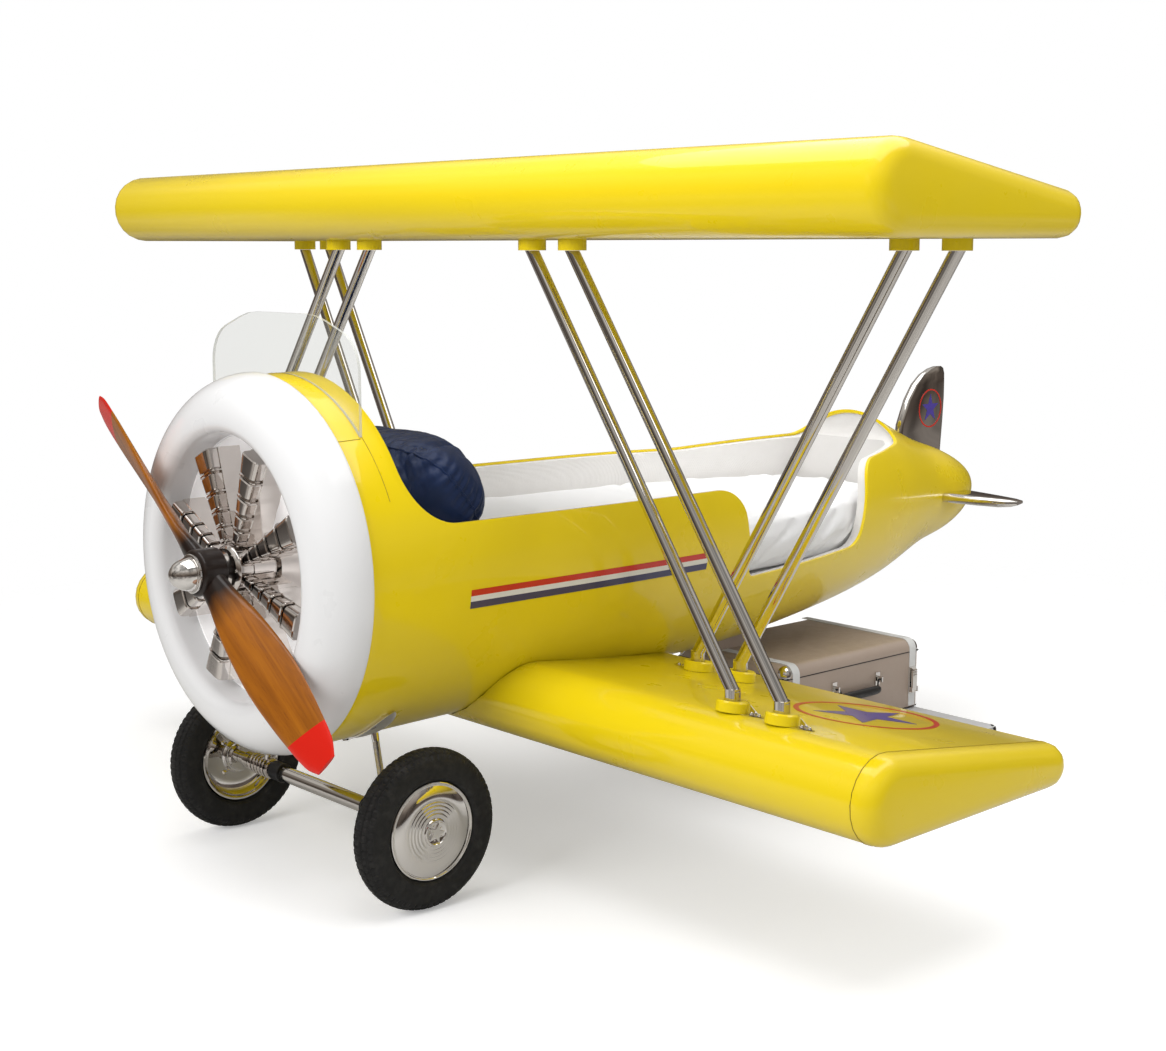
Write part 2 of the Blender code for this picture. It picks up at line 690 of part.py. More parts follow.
hull_touch = hull_body("hull_touch", GAP, tail_first=0.01)
finish(hull_touch, None, cutter=True)
FIN = [(0.88, 2.470, 2.716, 1.0), (0.998, 2.484, 2.726, 1.0), (1.080, 2.521, 2.731, 0.98),
       (1.130, 2.558, 2.731, 0.92), (1.162, 2.598, 2.730, 0.80), (1.180, 2.640, 2.724, 0.60),
       (1.187, 2.672, 2.712, 0.35)]
fin = vane("tail_fin", FIN, 0.0155, 0.005,
           lambda span, y, t: Vector((t, DATUM_Y + y, span)))
boolean(fin, hull_touch, "DIFFERENCE")
finish(fin, "chrome")
STAB = [(0.060, 2.480, 2.712, 1.0), (0.180, 2.495, 2.690, 1.0), (0.300, 2.506, 2.662, 1.0),
        (0.380, 2.522, 2.640, 0.95), (0.415, 2.542, 2.622, 0.75), (0.430, 2.565, 2.600, 0.4)]
for side, word in ((1, "near"), (-1, "far")):
    stab = vane("stabilizer_" + word, STAB, 0.0155, 0.005,
                lambda span, y, t, s=side: Vector((s * span, DATUM_Y + y, 0.768 + t)))
    boolean(stab, hull_touch, "DIFFERENCE")
    finish(stab, "chrome")

# ---------------------------------------------------------------- wheels and gear
AXLE_Z = WHEEL_R
SIDEWAYS = Matrix(((0, 0, 1, 0), (0, 1, 0, 0), (-1, 0, 0, 0), (0, 0, 0, 1)))
HALF_W = TYRE_W / 2
tyre_profile = []
for i in range(7):
    ang = radians(78 - 26 * i)
    tyre_profile.append((WHEEL_R - 0.036 + 0.036 * cos(ang), (HALF_W - 0.001) * sin(ang)))
tyre_profile = ([(RIM_R + GAP, 0.028), (0.138, 0.0385)] + tyre_profile
                + [(0.138, -0.0375), (RIM_R + GAP, -0.020)])
wheel_profile = [(0.0, 0.050), (0.030, 0.050), (0.036, 0.046), (0.075, 0.043),
                 (0.108, 0.035), (RIM_R, 0.028), (RIM_R, -0.018), (0.112, -0.026),
                 (0.090, -0.006), (0.045, -0.004), (0.036, -0.030), (0.0, -0.030)]
for side, word in ((1, "near"), (-1, "far")):
    outward = Matrix.Rotation(0 if side > 0 else pi, 4, "Z")
    place = Matrix.Translation((side * WHEEL_X, DATUM_Y + WHEEL_Y, AXLE_Z)) @ outward @ SIDEWAYS
    tyre = turned("tyre_" + word, tyre_profile, 30, closed=True)
    tyre.matrix_world = place
    finish(tyre, "rubber")
    wheel = turned("wheel_" + word, wheel_profile, 30)
    wheel.matrix_world = place
    finish(wheel, "chrome")

axle_end = WHEEL_X - 0.0306
axle_half = [(0.0, axle_end), (0.017, axle_end), (0.017, axle_end - 0.035),
             (0.025, axle_end - 0.036), (0.025, axle_end - 0.060), (AXLE_R, axle_end - 0.061)]
axle_profile = axle_half + [(r, -x) for r, x in reversed(axle_half)]
axle = turned("axle", axle_profile, 14)
axle.matrix_world = Matrix.Translation((0, DATUM_Y + WHEEL_Y, AXLE_Z)) @ SIDEWAYS
finish(axle, "chrome")

LEAF_SHARES = (0.1, 0.3, 0.5, 0.75, 1.0)


def hull_leaf(name, centre_y, centre_angle, half_length, half_width, thick):
    """Leaf-shaped plate bent across the hull."""
    radius, centre = hull_at(centre_y)
    rows = []
    for level, offset in ((0, GAP), (1, GAP + thick)):
        for share in LEAF_SHARES:
            ring = []
            for i in range(20):
                ang = 2 * pi * i / 20
                ring.append(hull_point(centre_y + half_width * share * sin(ang),
                                       centre_angle + half_length * share * cos(ang) / radius,
                                       offset))
            rows.append(ring)
    half = len(LEAF_SHARES)
    return loft(name, rows[:half] + list(reversed(rows[half:])))


for side, word in ((1, "near"), (-1, "far")):
    angle = radians(-62.5) if side > 0 else radians(180 + 62.5)
    leaf = hull_leaf("gear_plate_" + word, 0.160, angle, 0.125, 0.030, 0.004)
    finish(leaf, "chrome")
    leg = rod("gear_leg_" + word, (side * 0.272, DATUM_Y + WHEEL_Y, AXLE_Z + AXLE_R - 0.002),
              (side * 0.226, DATUM_Y + WHEEL_Y, 0.42), 0.010, 12)
    trim = hull_body("leg_trim_" + word, 0.0085, tail_first=0.01)
    finish(trim, None, cutter=True)
    boolean(leg, trim, "DIFFERENCE")
    saddle_cut = rod("axle_trim_" + word, (side * 0.05, DATUM_Y + WHEEL_Y, AXLE_Z),
                     (side * 0.35, DATUM_Y + WHEEL_Y, AXLE_Z), AXLE_R + GAP, 14)
    finish(saddle_cut, None, cutter=True)
    boolean(leg, saddle_cut, "DIFFERENCE")
    finish(leg, "chrome")

# ---------------------------------------------------------------- travel cases
def at(ys):
    return (DATUM_Y + ys[0], DATUM_Y + ys[1])


finish(box("step_case", STEP_CASE_X, at(CASE_Y), STEP_CASE_Z, 0.014, 2), "grey")
def case_half(name, levels):
    """Half of the case: rounded rectangles, each a level of (inset, height)."""
    y0, y1 = at(CASE_Y)
    rings = []
    for inset, z in levels:
        radius = max(CASE_CORNER_R - inset, 0.003)
        corners = [(CASE_X[0] + inset, y0 + inset, radius), (CASE_X[1] - inset, y0 + inset, radius),
                   (CASE_X[1] - inset, y1 - inset, radius), (CASE_X[0] + inset, y1 - inset, radius)]
        rings.append([Vector((x, y, z)) for x, y in rounded(corners, 22.5)])
    return loft(name, rings)


finish(case_half("case_body", [(0.008, CASE_Z[0]), (0.0024, CASE_Z[0] + 0.0024),
                               (0.0, CASE_Z[0] + 0.008), (0.0, CASE_SEAM_Z)]), "taupe")
crown = [(0.0, CASE_SEAM_Z + GAP * 2)]
for i in range(6):
    ang = radians(18 * i)
    crown.append((LID_EDGE_R * (1 - cos(ang)), CASE_Z[1] - LID_EDGE_R * (1 - sin(ang))))
lid = case_half("case_lid", crown)
# Pad on the lid that takes the fuselage's weight.
pad = box("belly_pad", (-0.010, 0.120), at((1.505, 1.620)), (CASE_Z[1] - 0.010, 0.430))
boolean(pad, hull_touch, "DIFFERENCE")
finish(pad, None, cutter=True)
boolean(lid, pad, "UNION")
finish(lid, "taupe")

HANDLE_Y = 1.795
HANDLE_Z = 0.292
HANDLE_X = CASE_X[1] + 0.014
for offset, word in ((-0.100, "front"), (0.100, "rear")):
    y = DATUM_Y + HANDLE_Y + offset
    bracket = box("handle_bracket_" + word, (CASE_X[1] + GAP, CASE_X[1] + 0.004),
                  (y - 0.010, y + 0.010), (HANDLE_Z - 0.020, HANDLE_Z + 0.020))
    ear = box("handle_ear_" + word, (CASE_X[1] + 0.002, HANDLE_X + 0.008),
              (y - 0.003, y + 0.003), (HANDLE_Z - 0.008, HANDLE_Z + 0.008))
    bore = rod("ear_bore_" + word, (HANDLE_X, y - 0.02, HANDLE_Z), (HANDLE_X, y + 0.02, HANDLE_Z),
               0.0036, 12)
    finish(ear, None, cutter=True)
    finish(bore, None, cutter=True)
    boolean(bracket, ear, "UNION")
    boolean(bracket, bore, "DIFFERENCE")
    finish(bracket, "chrome")

reach = 0.100
bar = tube("case_handle", [(0, -reach - 0.006, 0), (0, -reach + 0.010, 0), (0.004, -reach + 0.018, -0.030),
                           (0.004, reach - 0.018, -0.030), (0, reach - 0.010, 0),
                           (0, reach + 0.006, 0)], 0.003, 2)
grip = tube("handle_grip", [(0.004, -reach + 0.030, -0.030), (0.004, reach - 0.030, -0.030)],
            0.010, 3)
finish(grip, None, cutter=True)
boolean(bar, grip, "UNION")
bar.location = (HANDLE_X, DATUM_Y + HANDLE_Y, HANDLE_Z)
grip.location = bar.location
finish(bar, "black")

LATCH_Z = 0.232
for offset, word in ((-0.270, "front"), (0.270, "rear")):
    y = DATUM_Y + HANDLE_Y + offset
    base = box("latch_base_" + word, (CASE_X[1] + GAP, CASE_X[1] + 0.004),
               (y - 0.015, y + 0.015), (LATCH_Z - 0.012, LATCH_Z + 0.072))
    ears = []
    for side in (-1, 1):
        ears.append(box("latch_ear_%s_%d" % (word, side), (CASE_X[1] + 0.002, CASE_X[1] + 0.015),
                        (y + side * 0.0128 - 0.0018, y + side * 0.0128 + 0.0018),
                        (LATCH_Z - 0.008, LATCH_Z + 0.008)))
    join_all(base, ears)
    finish(base, "chrome")
    lever = box("latch_" + word, (-0.0035, 0.0035), (-0.0100, 0.0100), (-0.0035, 0.060))
    lever.location = (CASE_X[1] + 0.0098, y, LATCH_Z)
    finish(lever, "chrome")
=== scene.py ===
"""Looks of the biplane bed: surfaces, soft goods, decals, small fittings, light and camera.

Metres, +Z up, nose towards -Y, entry side towards +X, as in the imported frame. Distances called
aft are measured from the rear plane of the white cowl ring towards the tail.
"""
import bpy
import bmesh
import numpy as np
from math import asin, atan2, cos, exp, hypot, pi, radians, sin, tan
from mathutils import Matrix, Vector, noise
from mathutils.bvhtree import BVHTree


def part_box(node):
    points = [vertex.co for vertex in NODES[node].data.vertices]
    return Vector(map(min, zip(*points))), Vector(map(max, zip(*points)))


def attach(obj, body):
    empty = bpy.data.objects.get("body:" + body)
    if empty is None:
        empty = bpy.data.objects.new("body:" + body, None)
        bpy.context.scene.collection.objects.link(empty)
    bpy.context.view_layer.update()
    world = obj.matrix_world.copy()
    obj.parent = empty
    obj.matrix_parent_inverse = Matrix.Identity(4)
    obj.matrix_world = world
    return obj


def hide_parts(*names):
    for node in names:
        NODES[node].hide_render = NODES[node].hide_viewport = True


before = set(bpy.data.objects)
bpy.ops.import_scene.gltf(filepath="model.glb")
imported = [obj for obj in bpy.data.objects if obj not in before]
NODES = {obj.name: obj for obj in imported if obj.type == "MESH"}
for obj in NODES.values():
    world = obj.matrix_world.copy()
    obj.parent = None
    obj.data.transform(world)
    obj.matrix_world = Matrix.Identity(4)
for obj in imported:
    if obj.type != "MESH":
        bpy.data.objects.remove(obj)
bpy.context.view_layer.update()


def middle(node):
    return mean(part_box(node))


def extent(node):
    low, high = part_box(node)
    return high - low


def mean(points):
    return sum(points, Vector()) / len(points)


def world_points(node):
    obj = NODES[node]
    return [obj.matrix_world @ v.co for v in obj.data.vertices]


# ---- places taken from the frame
DATUM_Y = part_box("cowl_ring")[1].y
AXIS_Z = middle("cowl_ring").z
RING_R = extent("cowl_ring").z / 2
RING_DEPTH = extent("cowl_ring").y
WHEEL = middle("tyre_near")
WHEEL_R = extent("tyre_near").z / 2
TYRE_HALF = extent("tyre_near").x / 2
MATTRESS_LOW, MATTRESS_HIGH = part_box("mattress")
CASE_LOW, CASE_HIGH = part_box("case_body")
LID_TOP = max(p.z for p in world_points("case_lid") if p.x > CASE_HIGH.x - 0.06)
SEAM_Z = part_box("case_lid")[0].z
STEP_LOW, STEP_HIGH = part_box("step_case")

# The hull's stations: aft, radius, height of the section's centre, as in the CAD.
HULL = [
    (0.000, 0.468, 0.812), (0.382, 0.471, 0.824), (0.764, 0.476, 0.838),
    (1.146, 0.470, 0.854), (1.528, 0.450, 0.854), (1.910, 0.372, 0.819),
    (2.197, 0.291, 0.791), (2.483, 0.190, 0.775), (2.674, 0.139, 0.768),
    (2.800, 0.080, 0.770), (2.884, 0.000, 0.781)]
SHELL_WALL = 0.010
LINER_WALL = 0.032
CABIN_FRONT = 0.150
CABIN_REAR = 2.225
RIM_Z = 0.940
HULL_SIDES = 96
NEAR, FAR = 1, -1
SIDES = ((NEAR, "near"), (FAR, "far"))
X, Y, Z = Vector((1, 0, 0)), Vector((0, 1, 0)), Vector((0, 0, 1))


def at(aft):
    return DATUM_Y + aft


# ---- materials
class Shader:
    """Shader nodes of one owner; a socket given another node's output is linked."""

    def __init__(self, owner):
        owner.use_nodes = True
        self.tree = owner.node_tree

    def feed(self, socket, value):
        if isinstance(value, bpy.types.NodeSocket):
            self.tree.links.new(value, socket)
        else:
            socket.default_value = (*value, 1.0) if socket.type == "RGBA" else value

    def node(self, kind, inputs=None, out=0, **props):
        """Adds a node, sets it up and gives back one of its outputs."""
        made = self.tree.nodes.new("ShaderNode" + kind)
        for key, value in props.items():
            setattr(made, key, value)
        for socket, value in (inputs or {}).items():
            self.feed(made.inputs[socket], value)
        return made.outputs[out]

    def surface(self, output, shader):
        self.feed(self.tree.nodes[output].inputs["Surface"], shader)

    def ray(self, kind):
        return self.node("LightPath", out="Is %s Ray" % kind)

    def moved(self, scale=(1, 1, 1), turn=(0, 0, 0), vector=None):
        return self.node("Mapping", {"Vector": vector or self.place, "Scale": scale,
                                     "Rotation": turn})

    def noise(self, scale, detail=3.0, vector=None, rough=0.5, distortion=0.0):
        return self.node("TexNoise", {"Vector": vector or self.place, "Scale": scale,
                                      "Detail": detail, "Roughness": rough,
                                      "Distortion": distortion}, "Fac")

    def math(self, operation, a, b=0.0):
        return self.node("Math", {0: a, 1: b}, operation=operation)

    def band(self, value, low, high, to_low=0.0, to_high=1.0):
        return self.node("MapRange", {"Value": value, "From Min": low, "From Max": high,
                                      "To Min": to_low, "To Max": to_high}, "Result")

    def ramp(self, value, stops):
        colour = self.node("ValToRGB", {"Fac": value}, "Color")
        element = colour.node.color_ramp.elements
        while len(element) < len(stops):
            element.new(0.5)
        for item, (where, shade) in zip(element, stops):
            item.position = where
            item.color = (*shade, 1.0)
        return colour

    def mix(self, factor, a, b):
        return self.node("Mix", {0: factor, 6: a, 7: b}, 2, data_type="RGBA")

    def mix_shaders(self, factor, a, b):
        return self.node("MixShader", {0: factor, 1: a, 2: b})


class Finish(Shader):
    """A Principled material with a few procedural helpers."""

    def __init__(self, name, colour, roughness=0.5, metallic=0.0, **extra):
        self.material = bpy.data.materials.new(name)
        super().__init__(self.material)
        self.bsdf = self.tree.nodes["Principled BSDF"]
        self.set(base_color=colour, roughness=roughness, metallic=metallic, **extra)
        self.place = self.node("TexCoord", out="Object")
        self.height = None

    def set(self, **values):
        for key, value in values.items():
            socket = key.replace("_", " ").title().replace("Ior", "IOR")
            self.feed(self.bsdf.inputs[socket], value)

    def drift(self, scale, detail, first, second):
        """Colour that wanders between two shades."""
        self.set(base_color=self.mix(self.noise(scale, detail), first, second))

    def uneven(self, scale, detail, low, high, least, most):
        """Roughness that wanders between two values."""
        self.set(roughness=self.band(self.noise(scale, detail), low, high, least, most))

    def bump(self, height, distance, strength=1.0):
        """Adds a bump on top of any earlier one."""
        inputs = {"Height": height, "Distance": distance, "Strength": strength}
        if self.height:
            inputs["Normal"] = self.height
        self.height = self.node("Bump", inputs)
        self.set(normal=self.height)


def lacquer(name, colour, deep, bounce, ripple=0.00025, painted_light_glow=0.0):
    """Gloss lacquer over a moulded shell: faint colour drift, orange peel and slow ripple.

    Light thrown on to the pieces around it has the paler bounce colour.
    """
    f = Finish(name, colour, 0.32, coat_weight=0.62, coat_roughness=0.02, specular_ior_level=0.30)
    shade = f.mix(f.noise(2.2, 4.0), deep, colour)
    f.set(base_color=f.mix(f.ray("Diffuse"), shade, bounce))
    f.uneven(9.0, 5.0, 0.35, 0.7, 0.27, 0.36)
    f.bump(f.noise(2.4, 1.0), ripple)
    f.bump(f.noise(300.0, 2.0), 0.00001, 0.5)
    # A glow above zero is painted light: an emission in the lacquer's own colour that brightens
    # the surface as if more light reached it.
    if painted_light_glow:
        f.set(emission_color=colour, emission_strength=painted_light_glow)
    return f


def chrome(name, colour=(0.80, 0.775, 0.75), low=0.03, high=0.10, wave=0.0):
    """Polished plate: smears in the polish, hairline scratches and, when cast, a wavy skin."""
    f = Finish(name, colour, 0.05, 1.0)
    f.drift(14.0, 6.0, colour, [c * 0.93 for c in colour])
    smear = f.noise(22.0, 8.0, f.moved((1.0, 2.5, 0.7)), 0.65, 0.4)
    f.set(roughness=f.band(smear, 0.35, 0.75, low, high))
    if wave:
        f.bump(f.noise(11.0, 2.0), wave)
    f.bump(f.noise(500.0, 2.0, f.moved((0.2, 1.0, 1.0))), 0.00001, 0.5)
    return f


def cloth(name, colour, shade, thread=900.0, sheen=0.2, depth=0.00025, roughness=0.85):
    """Plain weave with slubs: three crossed thread waves and a blotchy shade."""
    f = Finish(name, colour, roughness, sheen_weight=sheen, sheen_roughness=0.4)
    f.drift(18.0, 6.0, shade, colour)
    waves = [f.node("TexWave", {"Vector": f.moved(turn=turn), "Scale": thread / 3,
                                "Distortion": 1.0, "Detail Scale": 2.0}, "Fac",
                    bands_direction="X")
             for turn in ((0, 0, 0), (0, 0, pi / 2), (pi / 2, 0, 0))]
    f.bump(f.math("ADD", f.math("ADD", waves[0], waves[1]), waves[2]), depth * 0.4, 0.5)
    f.bump(f.noise(160.0, 4.0), depth, 0.7)
    return f


def leather(name, colour, shade, grain=420.0):
    """Pebbled hide with a thin dressing."""
    f = Finish(name, colour, 0.42, coat_weight=0.25, coat_roughness=0.25)
    f.drift(7.0, 6.0, shade, colour)
    f.uneven(40.0, 4.0, 0.3, 0.7, 0.34, 0.52)
    cells = f.node("TexVoronoi", {"Vector": f.place, "Scale": grain}, "Distance",
                   feature="DISTANCE_TO_EDGE")
    f.bump(f.band(cells, 0.0, 0.12), 0.00018, 0.6)
    f.bump(f.noise(90.0, 3.0), 0.0002, 0.5)
    return f


RED_TIP = 0.128           # length of the red blade tips


def wood():
    """Gloss-varnished laminations along the blades, near-black hub, red tips."""
    size = extent("propeller")
    f = Finish("propeller_wood", (0.45, 0.18, 0.04), 0.42, coat_weight=0.55, coat_roughness=0.03,
               specular_ior_level=0.2)
    away = f.node("VectorMath", {0: f.place, 1: middle("propeller")}, operation="SUBTRACT")
    blade = f.node("VectorRotate", {"Vector": away, "Angle": -atan2(size.z, size.x)},
                   rotation_type="Y_AXIS")
    reach = f.math("ABSOLUTE", f.node("SeparateXYZ", {0: blade}, "X"))
    stretched = f.moved((1.6, 30.0, 30.0), vector=blade)
    grain = f.noise(1.7, 8.0, stretched, 0.6, 0.5)
    fine = f.noise(14.0, 4.0, stretched, 0.6)
    body = f.ramp(grain, [(0.25, (0.20, 0.056, 0.002)), (0.5, (0.31, 0.094, 0.003)),
                          (0.75, (0.40, 0.132, 0.004))])
    body = f.mix(f.band(fine, 0.58, 0.74, 0.0, 0.75), body, (0.15, 0.040, 0.004))
    dark = f.band(f.math("ADD", reach, f.math("MULTIPLY", grain, 0.03)), 0.095, 0.185)
    body = f.mix(dark, (0.012, 0.006, 0.004), body)
    red_from = hypot(size.x, size.z) / 2 - RED_TIP
    slant = f.math("MULTIPLY", f.node("SeparateXYZ", {0: blade}, "Z"), -0.20)
    tip = f.band(f.math("ADD", reach, slant), red_from - 0.0005, red_from)
    f.set(base_color=f.mix(tip, body, (0.62, 0.010, 0.002)))
    f.bump(fine, 0.00006, 0.5)
    return f


def acrylic():
    """Clear sheet: nearly bare where it faces the nose, milky on its edges."""
    f = Finish("clear_acrylic", (0.72, 0.73, 0.68), 0.02, specular_ior_level=0.3)
    f.uneven(30.0, 6.0, 0.4, 0.8, 0.01, 0.05)
    facing = f.node("SeparateXYZ", {0: f.node("NewGeometry", out="Normal")}, "Y")
    veil = f.band(f.math("ABSOLUTE", facing), 0.75, 0.95, 0.55, 0.055)
    clear = f.node("BsdfTransparent", {"Color": (0.915, 0.917, 0.908)})
    f.surface("Material Output", f.mix_shaders(veil, clear, f.bsdf.outputs[0]))
    return f


def film(name, colour):
    """Thin gloss decal film."""
    f = Finish("film_" + name, colour, 0.35, coat_weight=0.4, coat_roughness=0.05)
    f.drift(30.0, 5.0, colour, [c * 0.86 for c in colour])
    f.bump(f.noise(300.0, 2.0), 0.00003, 0.5)
    return f


def build_paints():
    white_bounce = (0.84, 0.84, 0.85)
    paints = {
        "yellow": lacquer("yellow_lacquer", (0.90, 0.68, 0.004), (0.87, 0.64, 0.003),
                          (0.60, 0.575, 0.47)),
        # The white lacquer's glow of 0.03 is painted light that lifts its shaded parts.
        "white": lacquer("white_lacquer", (0.76, 0.76, 0.765), (0.735, 0.735, 0.74),
                         white_bounce, 0.0001, 0.03),
        # The dish's lacquer is a paler copy of the white one with a glow of 0.30: painted light in
        # place of the shade the ring and the engine throw into the well.
        "dish": lacquer("dish_lacquer_painted_light", (0.86, 0.85, 0.85), (0.83, 0.82, 0.82),
                        white_bounce, 0.0001, 0.30),
        "chrome": chrome("chrome_plate"),
        "plate": chrome("bright_plate", (0.70, 0.67, 0.635), 0.02, 0.07),
        "cast": chrome("chrome_casting", (0.74, 0.695, 0.66), 0.04, 0.13, 0.0010),
        "wood": wood(),
        "sheet": cloth("cotton_sheet", (0.90, 0.90, 0.905), (0.86, 0.86, 0.87)),
        "liner": cloth("padded_lining", (0.88, 0.865, 0.845), (0.83, 0.81, 0.785), 500.0, 0.3,
                       0.0009),
        "navy": cloth("navy_satin", (0.008, 0.025, 0.092), (0.005, 0.016, 0.060), 1500.0, 0.08,
                      0.00006, 0.50),
        "strap": cloth("strap_webbing", (0.72, 0.72, 0.71), (0.64, 0.64, 0.63), 700.0, 0.1,
                       0.0003),
        "leather": leather("taupe_leather", (0.44, 0.35, 0.285), (0.39, 0.305, 0.245)),
        "grey": leather("grey_leather", (0.62, 0.62, 0.63), (0.55, 0.55, 0.56)),
        "grip": leather("handle_leather", (0.016, 0.015, 0.015), (0.010, 0.010, 0.010), 500.0),
        "rubber": Finish("tyre_rubber", (0.012, 0.012, 0.012), 0.62, specular_ior_level=0.4),
        "black": Finish("black_moulding", (0.012, 0.012, 0.013), 0.35),
        "seam": Finish("seam_shadow", (0.34, 0.22, 0.008), 0.6),
        "acrylic": acrylic(),
        "red": film("red", (0.66, 0.020, 0.006)),
        "cream": film("cream", (0.86, 0.83, 0.74)),
        "navy_film": film("navy_film", (0.035, 0.035, 0.12)),
        "violet": film("violet", (0.075, 0.045, 0.36)),
    }
    paints["navy"].set(sheen_tint=(0.35, 0.45, 0.9), specular_ior_level=0.35)
    f = paints["rubber"]
    dust = f.band(f.noise(28.0, 8.0, rough=0.7), 0.5, 0.8)
    f.set(base_color=f.mix(dust, (0.010, 0.010, 0.010), (0.035, 0.033, 0.031)))
    f.uneven(60.0, 4.0, 0.3, 0.7, 0.5, 0.75)
    f.bump(f.noise(420.0, 3.0), 0.0002, 0.6)
    paints["black"].uneven(35.0, 5.0, 0.3, 0.7, 0.28, 0.45)
    paints["black"].bump(paints["black"].noise(700.0, 2.0), 0.00008, 0.6)
    paints["seam"].uneven(50.0, 3.0, 0.3, 0.7, 0.5, 0.7)
    return {key: finish.material for key, finish in paints.items()}


PAINT = build_paints()


# ---- mesh helpers
def smooth(obj, angle=35.0):
    for face in obj.data.polygons:
        face.use_smooth = True
    obj.data.set_sharp_from_angle(angle=radians(angle))
    return obj


def from_bmesh(name, bm, angle=35.0, weld=1e-6):
    bmesh.ops.remove_doubles(bm, verts=bm.verts, dist=weld)
    bmesh.ops.recalc_face_normals(bm, faces=bm.faces)
    mesh = bpy.data.meshes.new(name)
    bm.to_mesh(mesh)
    bm.free()
    obj = bpy.data.objects.new(name, mesh)
    bpy.context.scene.collection.objects.link(obj)
    return smooth(obj, angle)


def dress(obj, paint, slot, *stands_for, body="bed"):
    """Gives a piece its material and its body."""
    obj.data.materials.clear()
    obj.data.materials.append(PAINT[paint])
    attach(obj, body)
    if stands_for:
        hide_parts(*stands_for)


def apply_modifiers(obj):
    graph = bpy.context.evaluated_depsgraph_get()
    mesh = bpy.data.meshes.new_from_object(obj.evaluated_get(graph))
    obj.modifiers.clear()
    obj.data = mesh
    return obj


def circle(count, radius=1.0, phase=0.0):
    """(a, b) points round a circle; the phase is in radians."""
    turns = [phase + 2 * pi * i / count for i in range(count)]
    return [(radius * cos(t), radius * sin(t)) for t in turns]


def knit(bm, rows, closed=False):
    """Faces between neighbouring rings of vertices; closed joins the last ring to the first."""
    for a, b in zip(rows, rows[1:] + rows[:1] if closed else rows[1:]):
        for i in range(len(a)):
            j = (i + 1) % len(a)
            corners = list(dict.fromkeys((a[i], a[j], b[j], b[i])))
            if len(corners) > 2:
                bm.faces.new(corners)


def loft(name, rings, closed=False, angle=35.0):
    """Body through rings with the same number of points each; closed joins last to first."""
    bm = bmesh.new()
    rows = [[bm.verts.new(p) for p in ring] for ring in rings]
    knit(bm, rows, closed)
    if not closed:
        bm.faces.new(rows[0])
        bm.faces.new(rows[-1])
    return from_bmesh(name, bm, angle)


def turned(name, profile, place, steps=128, closed=False, angle=30.0):
    """Turns (radius, height) points about local Z; points on the axis close the body."""
    bm = bmesh.new()
    rows = []
    for radius, height in profile:
        on_axis = radius < 1e-6
        row = [bm.verts.new(place @ Vector((a, b, height)))
               for a, b in circle(1 if on_axis else steps, radius)]
        rows.append(row * steps if on_axis else row)
    knit(bm, rows, closed)
    return from_bmesh(name, bm, angle)


def upright(point, axis):
    """Axes at a point with local Z along an axis."""
    return Matrix.Translation(point) @ axis.to_track_quat("Z", "Y").to_matrix().to_4x4()


def surface_tree(mesh):
    return BVHTree.FromPolygons([v.co for v in mesh.vertices], [p.vertices for p in mesh.polygons])


def studs(profile, place, spots, steps):
    """The same small turned piece at several (a, b) spots of a plane."""
    return [turned("stud", profile, place @ Matrix.Translation((a, b, 0.0)), steps)
            for a, b in spots]


def arc(centre, radius, first, last, count, squash=1.0):
    """(a, b) points on an arc, angles in degrees; squash scales the second coordinate."""
    angles = [radians(first + (last - first) * i / count) for i in range(count + 1)]
    return [(centre[0] + radius * cos(a), centre[1] + radius * squash * sin(a)) for a in angles]


def rounded(points, step=6.0):
    """Closed outline through (a, b, radius) corners, the radii drawn as arcs."""
    out = []
    for i, (a, b, radius) in enumerate(points):
        if radius <= 0:
            out.append((a, b))
            continue
        here = Vector((a, b))
        before = (Vector(points[i - 1][:2]) - here).normalized()
        after = (Vector(points[(i + 1) % len(points)][:2]) - here).normalized()
        half = before.angle(after) / 2
        centre = here + (before + after).normalized() * (radius / sin(half))
        start = here + before * (radius / tan(half)) - centre
        end = here + after * (radius / tan(half)) - centre
        first = atan2(start.y, start.x)
        turn = (atan2(end.y, end.x) - first + pi) % (2 * pi) - pi
        bits = max(2, round(abs(turn) / radians(step)))
        for k in range(bits + 1):
            ang = first + turn * k / bits
            out.append((centre.x + radius * cos(ang), centre.y + radius * sin(ang)))
    return out


def prism(name, outline, place, low, high, angle=35.0):
    """Solid from a flat outline in a plane's XY, between two heights."""
    return loft(name, [[place @ Vector((a, b, h)) for a, b in outline] for h in (low, high)],
                angle=angle)


def sweep(name, path, radius, sides=10, closed=False):
    """Round bar along a path of points."""
    rings = []
    count = len(path)
    for i, point in enumerate(path):
        before = path[i - 1] if (i or closed) else point
        after = path[(i + 1) % count] if (i < count - 1 or closed) else point
        along = (after - before).normalized()
        side = along.cross(Y if abs(along.z) > 0.97 else Z).normalized()
        rise = side.cross(along)
        rings.append([point + side * a + rise * b for a, b in circle(sides, radius)])
    return loft(name, rings, closed, 40.0)


def plate(name, top, bottom, closed=False):
    """Thin solid between two grids of points; closed joins the last row to the first."""
    bm = bmesh.new()
    rows = [[bm.verts.new(p) for p in upper + lower[::-1]] for upper, lower in zip(top, bottom)]
    knit(bm, rows, closed)
    if not closed:
        for row in (rows[0], rows[-1]):
            for j in range(len(row) // 2 - 1):
                bm.faces.new((row[j], row[j + 1], row[-2 - j], row[-1 - j]))
    return from_bmesh(name, bm)


def add_modifier(obj, kind, **settings):
    mod = obj.modifiers.new(kind.lower(), kind)
    for key, value in settings.items():
        setattr(mod, key, value)
    return mod


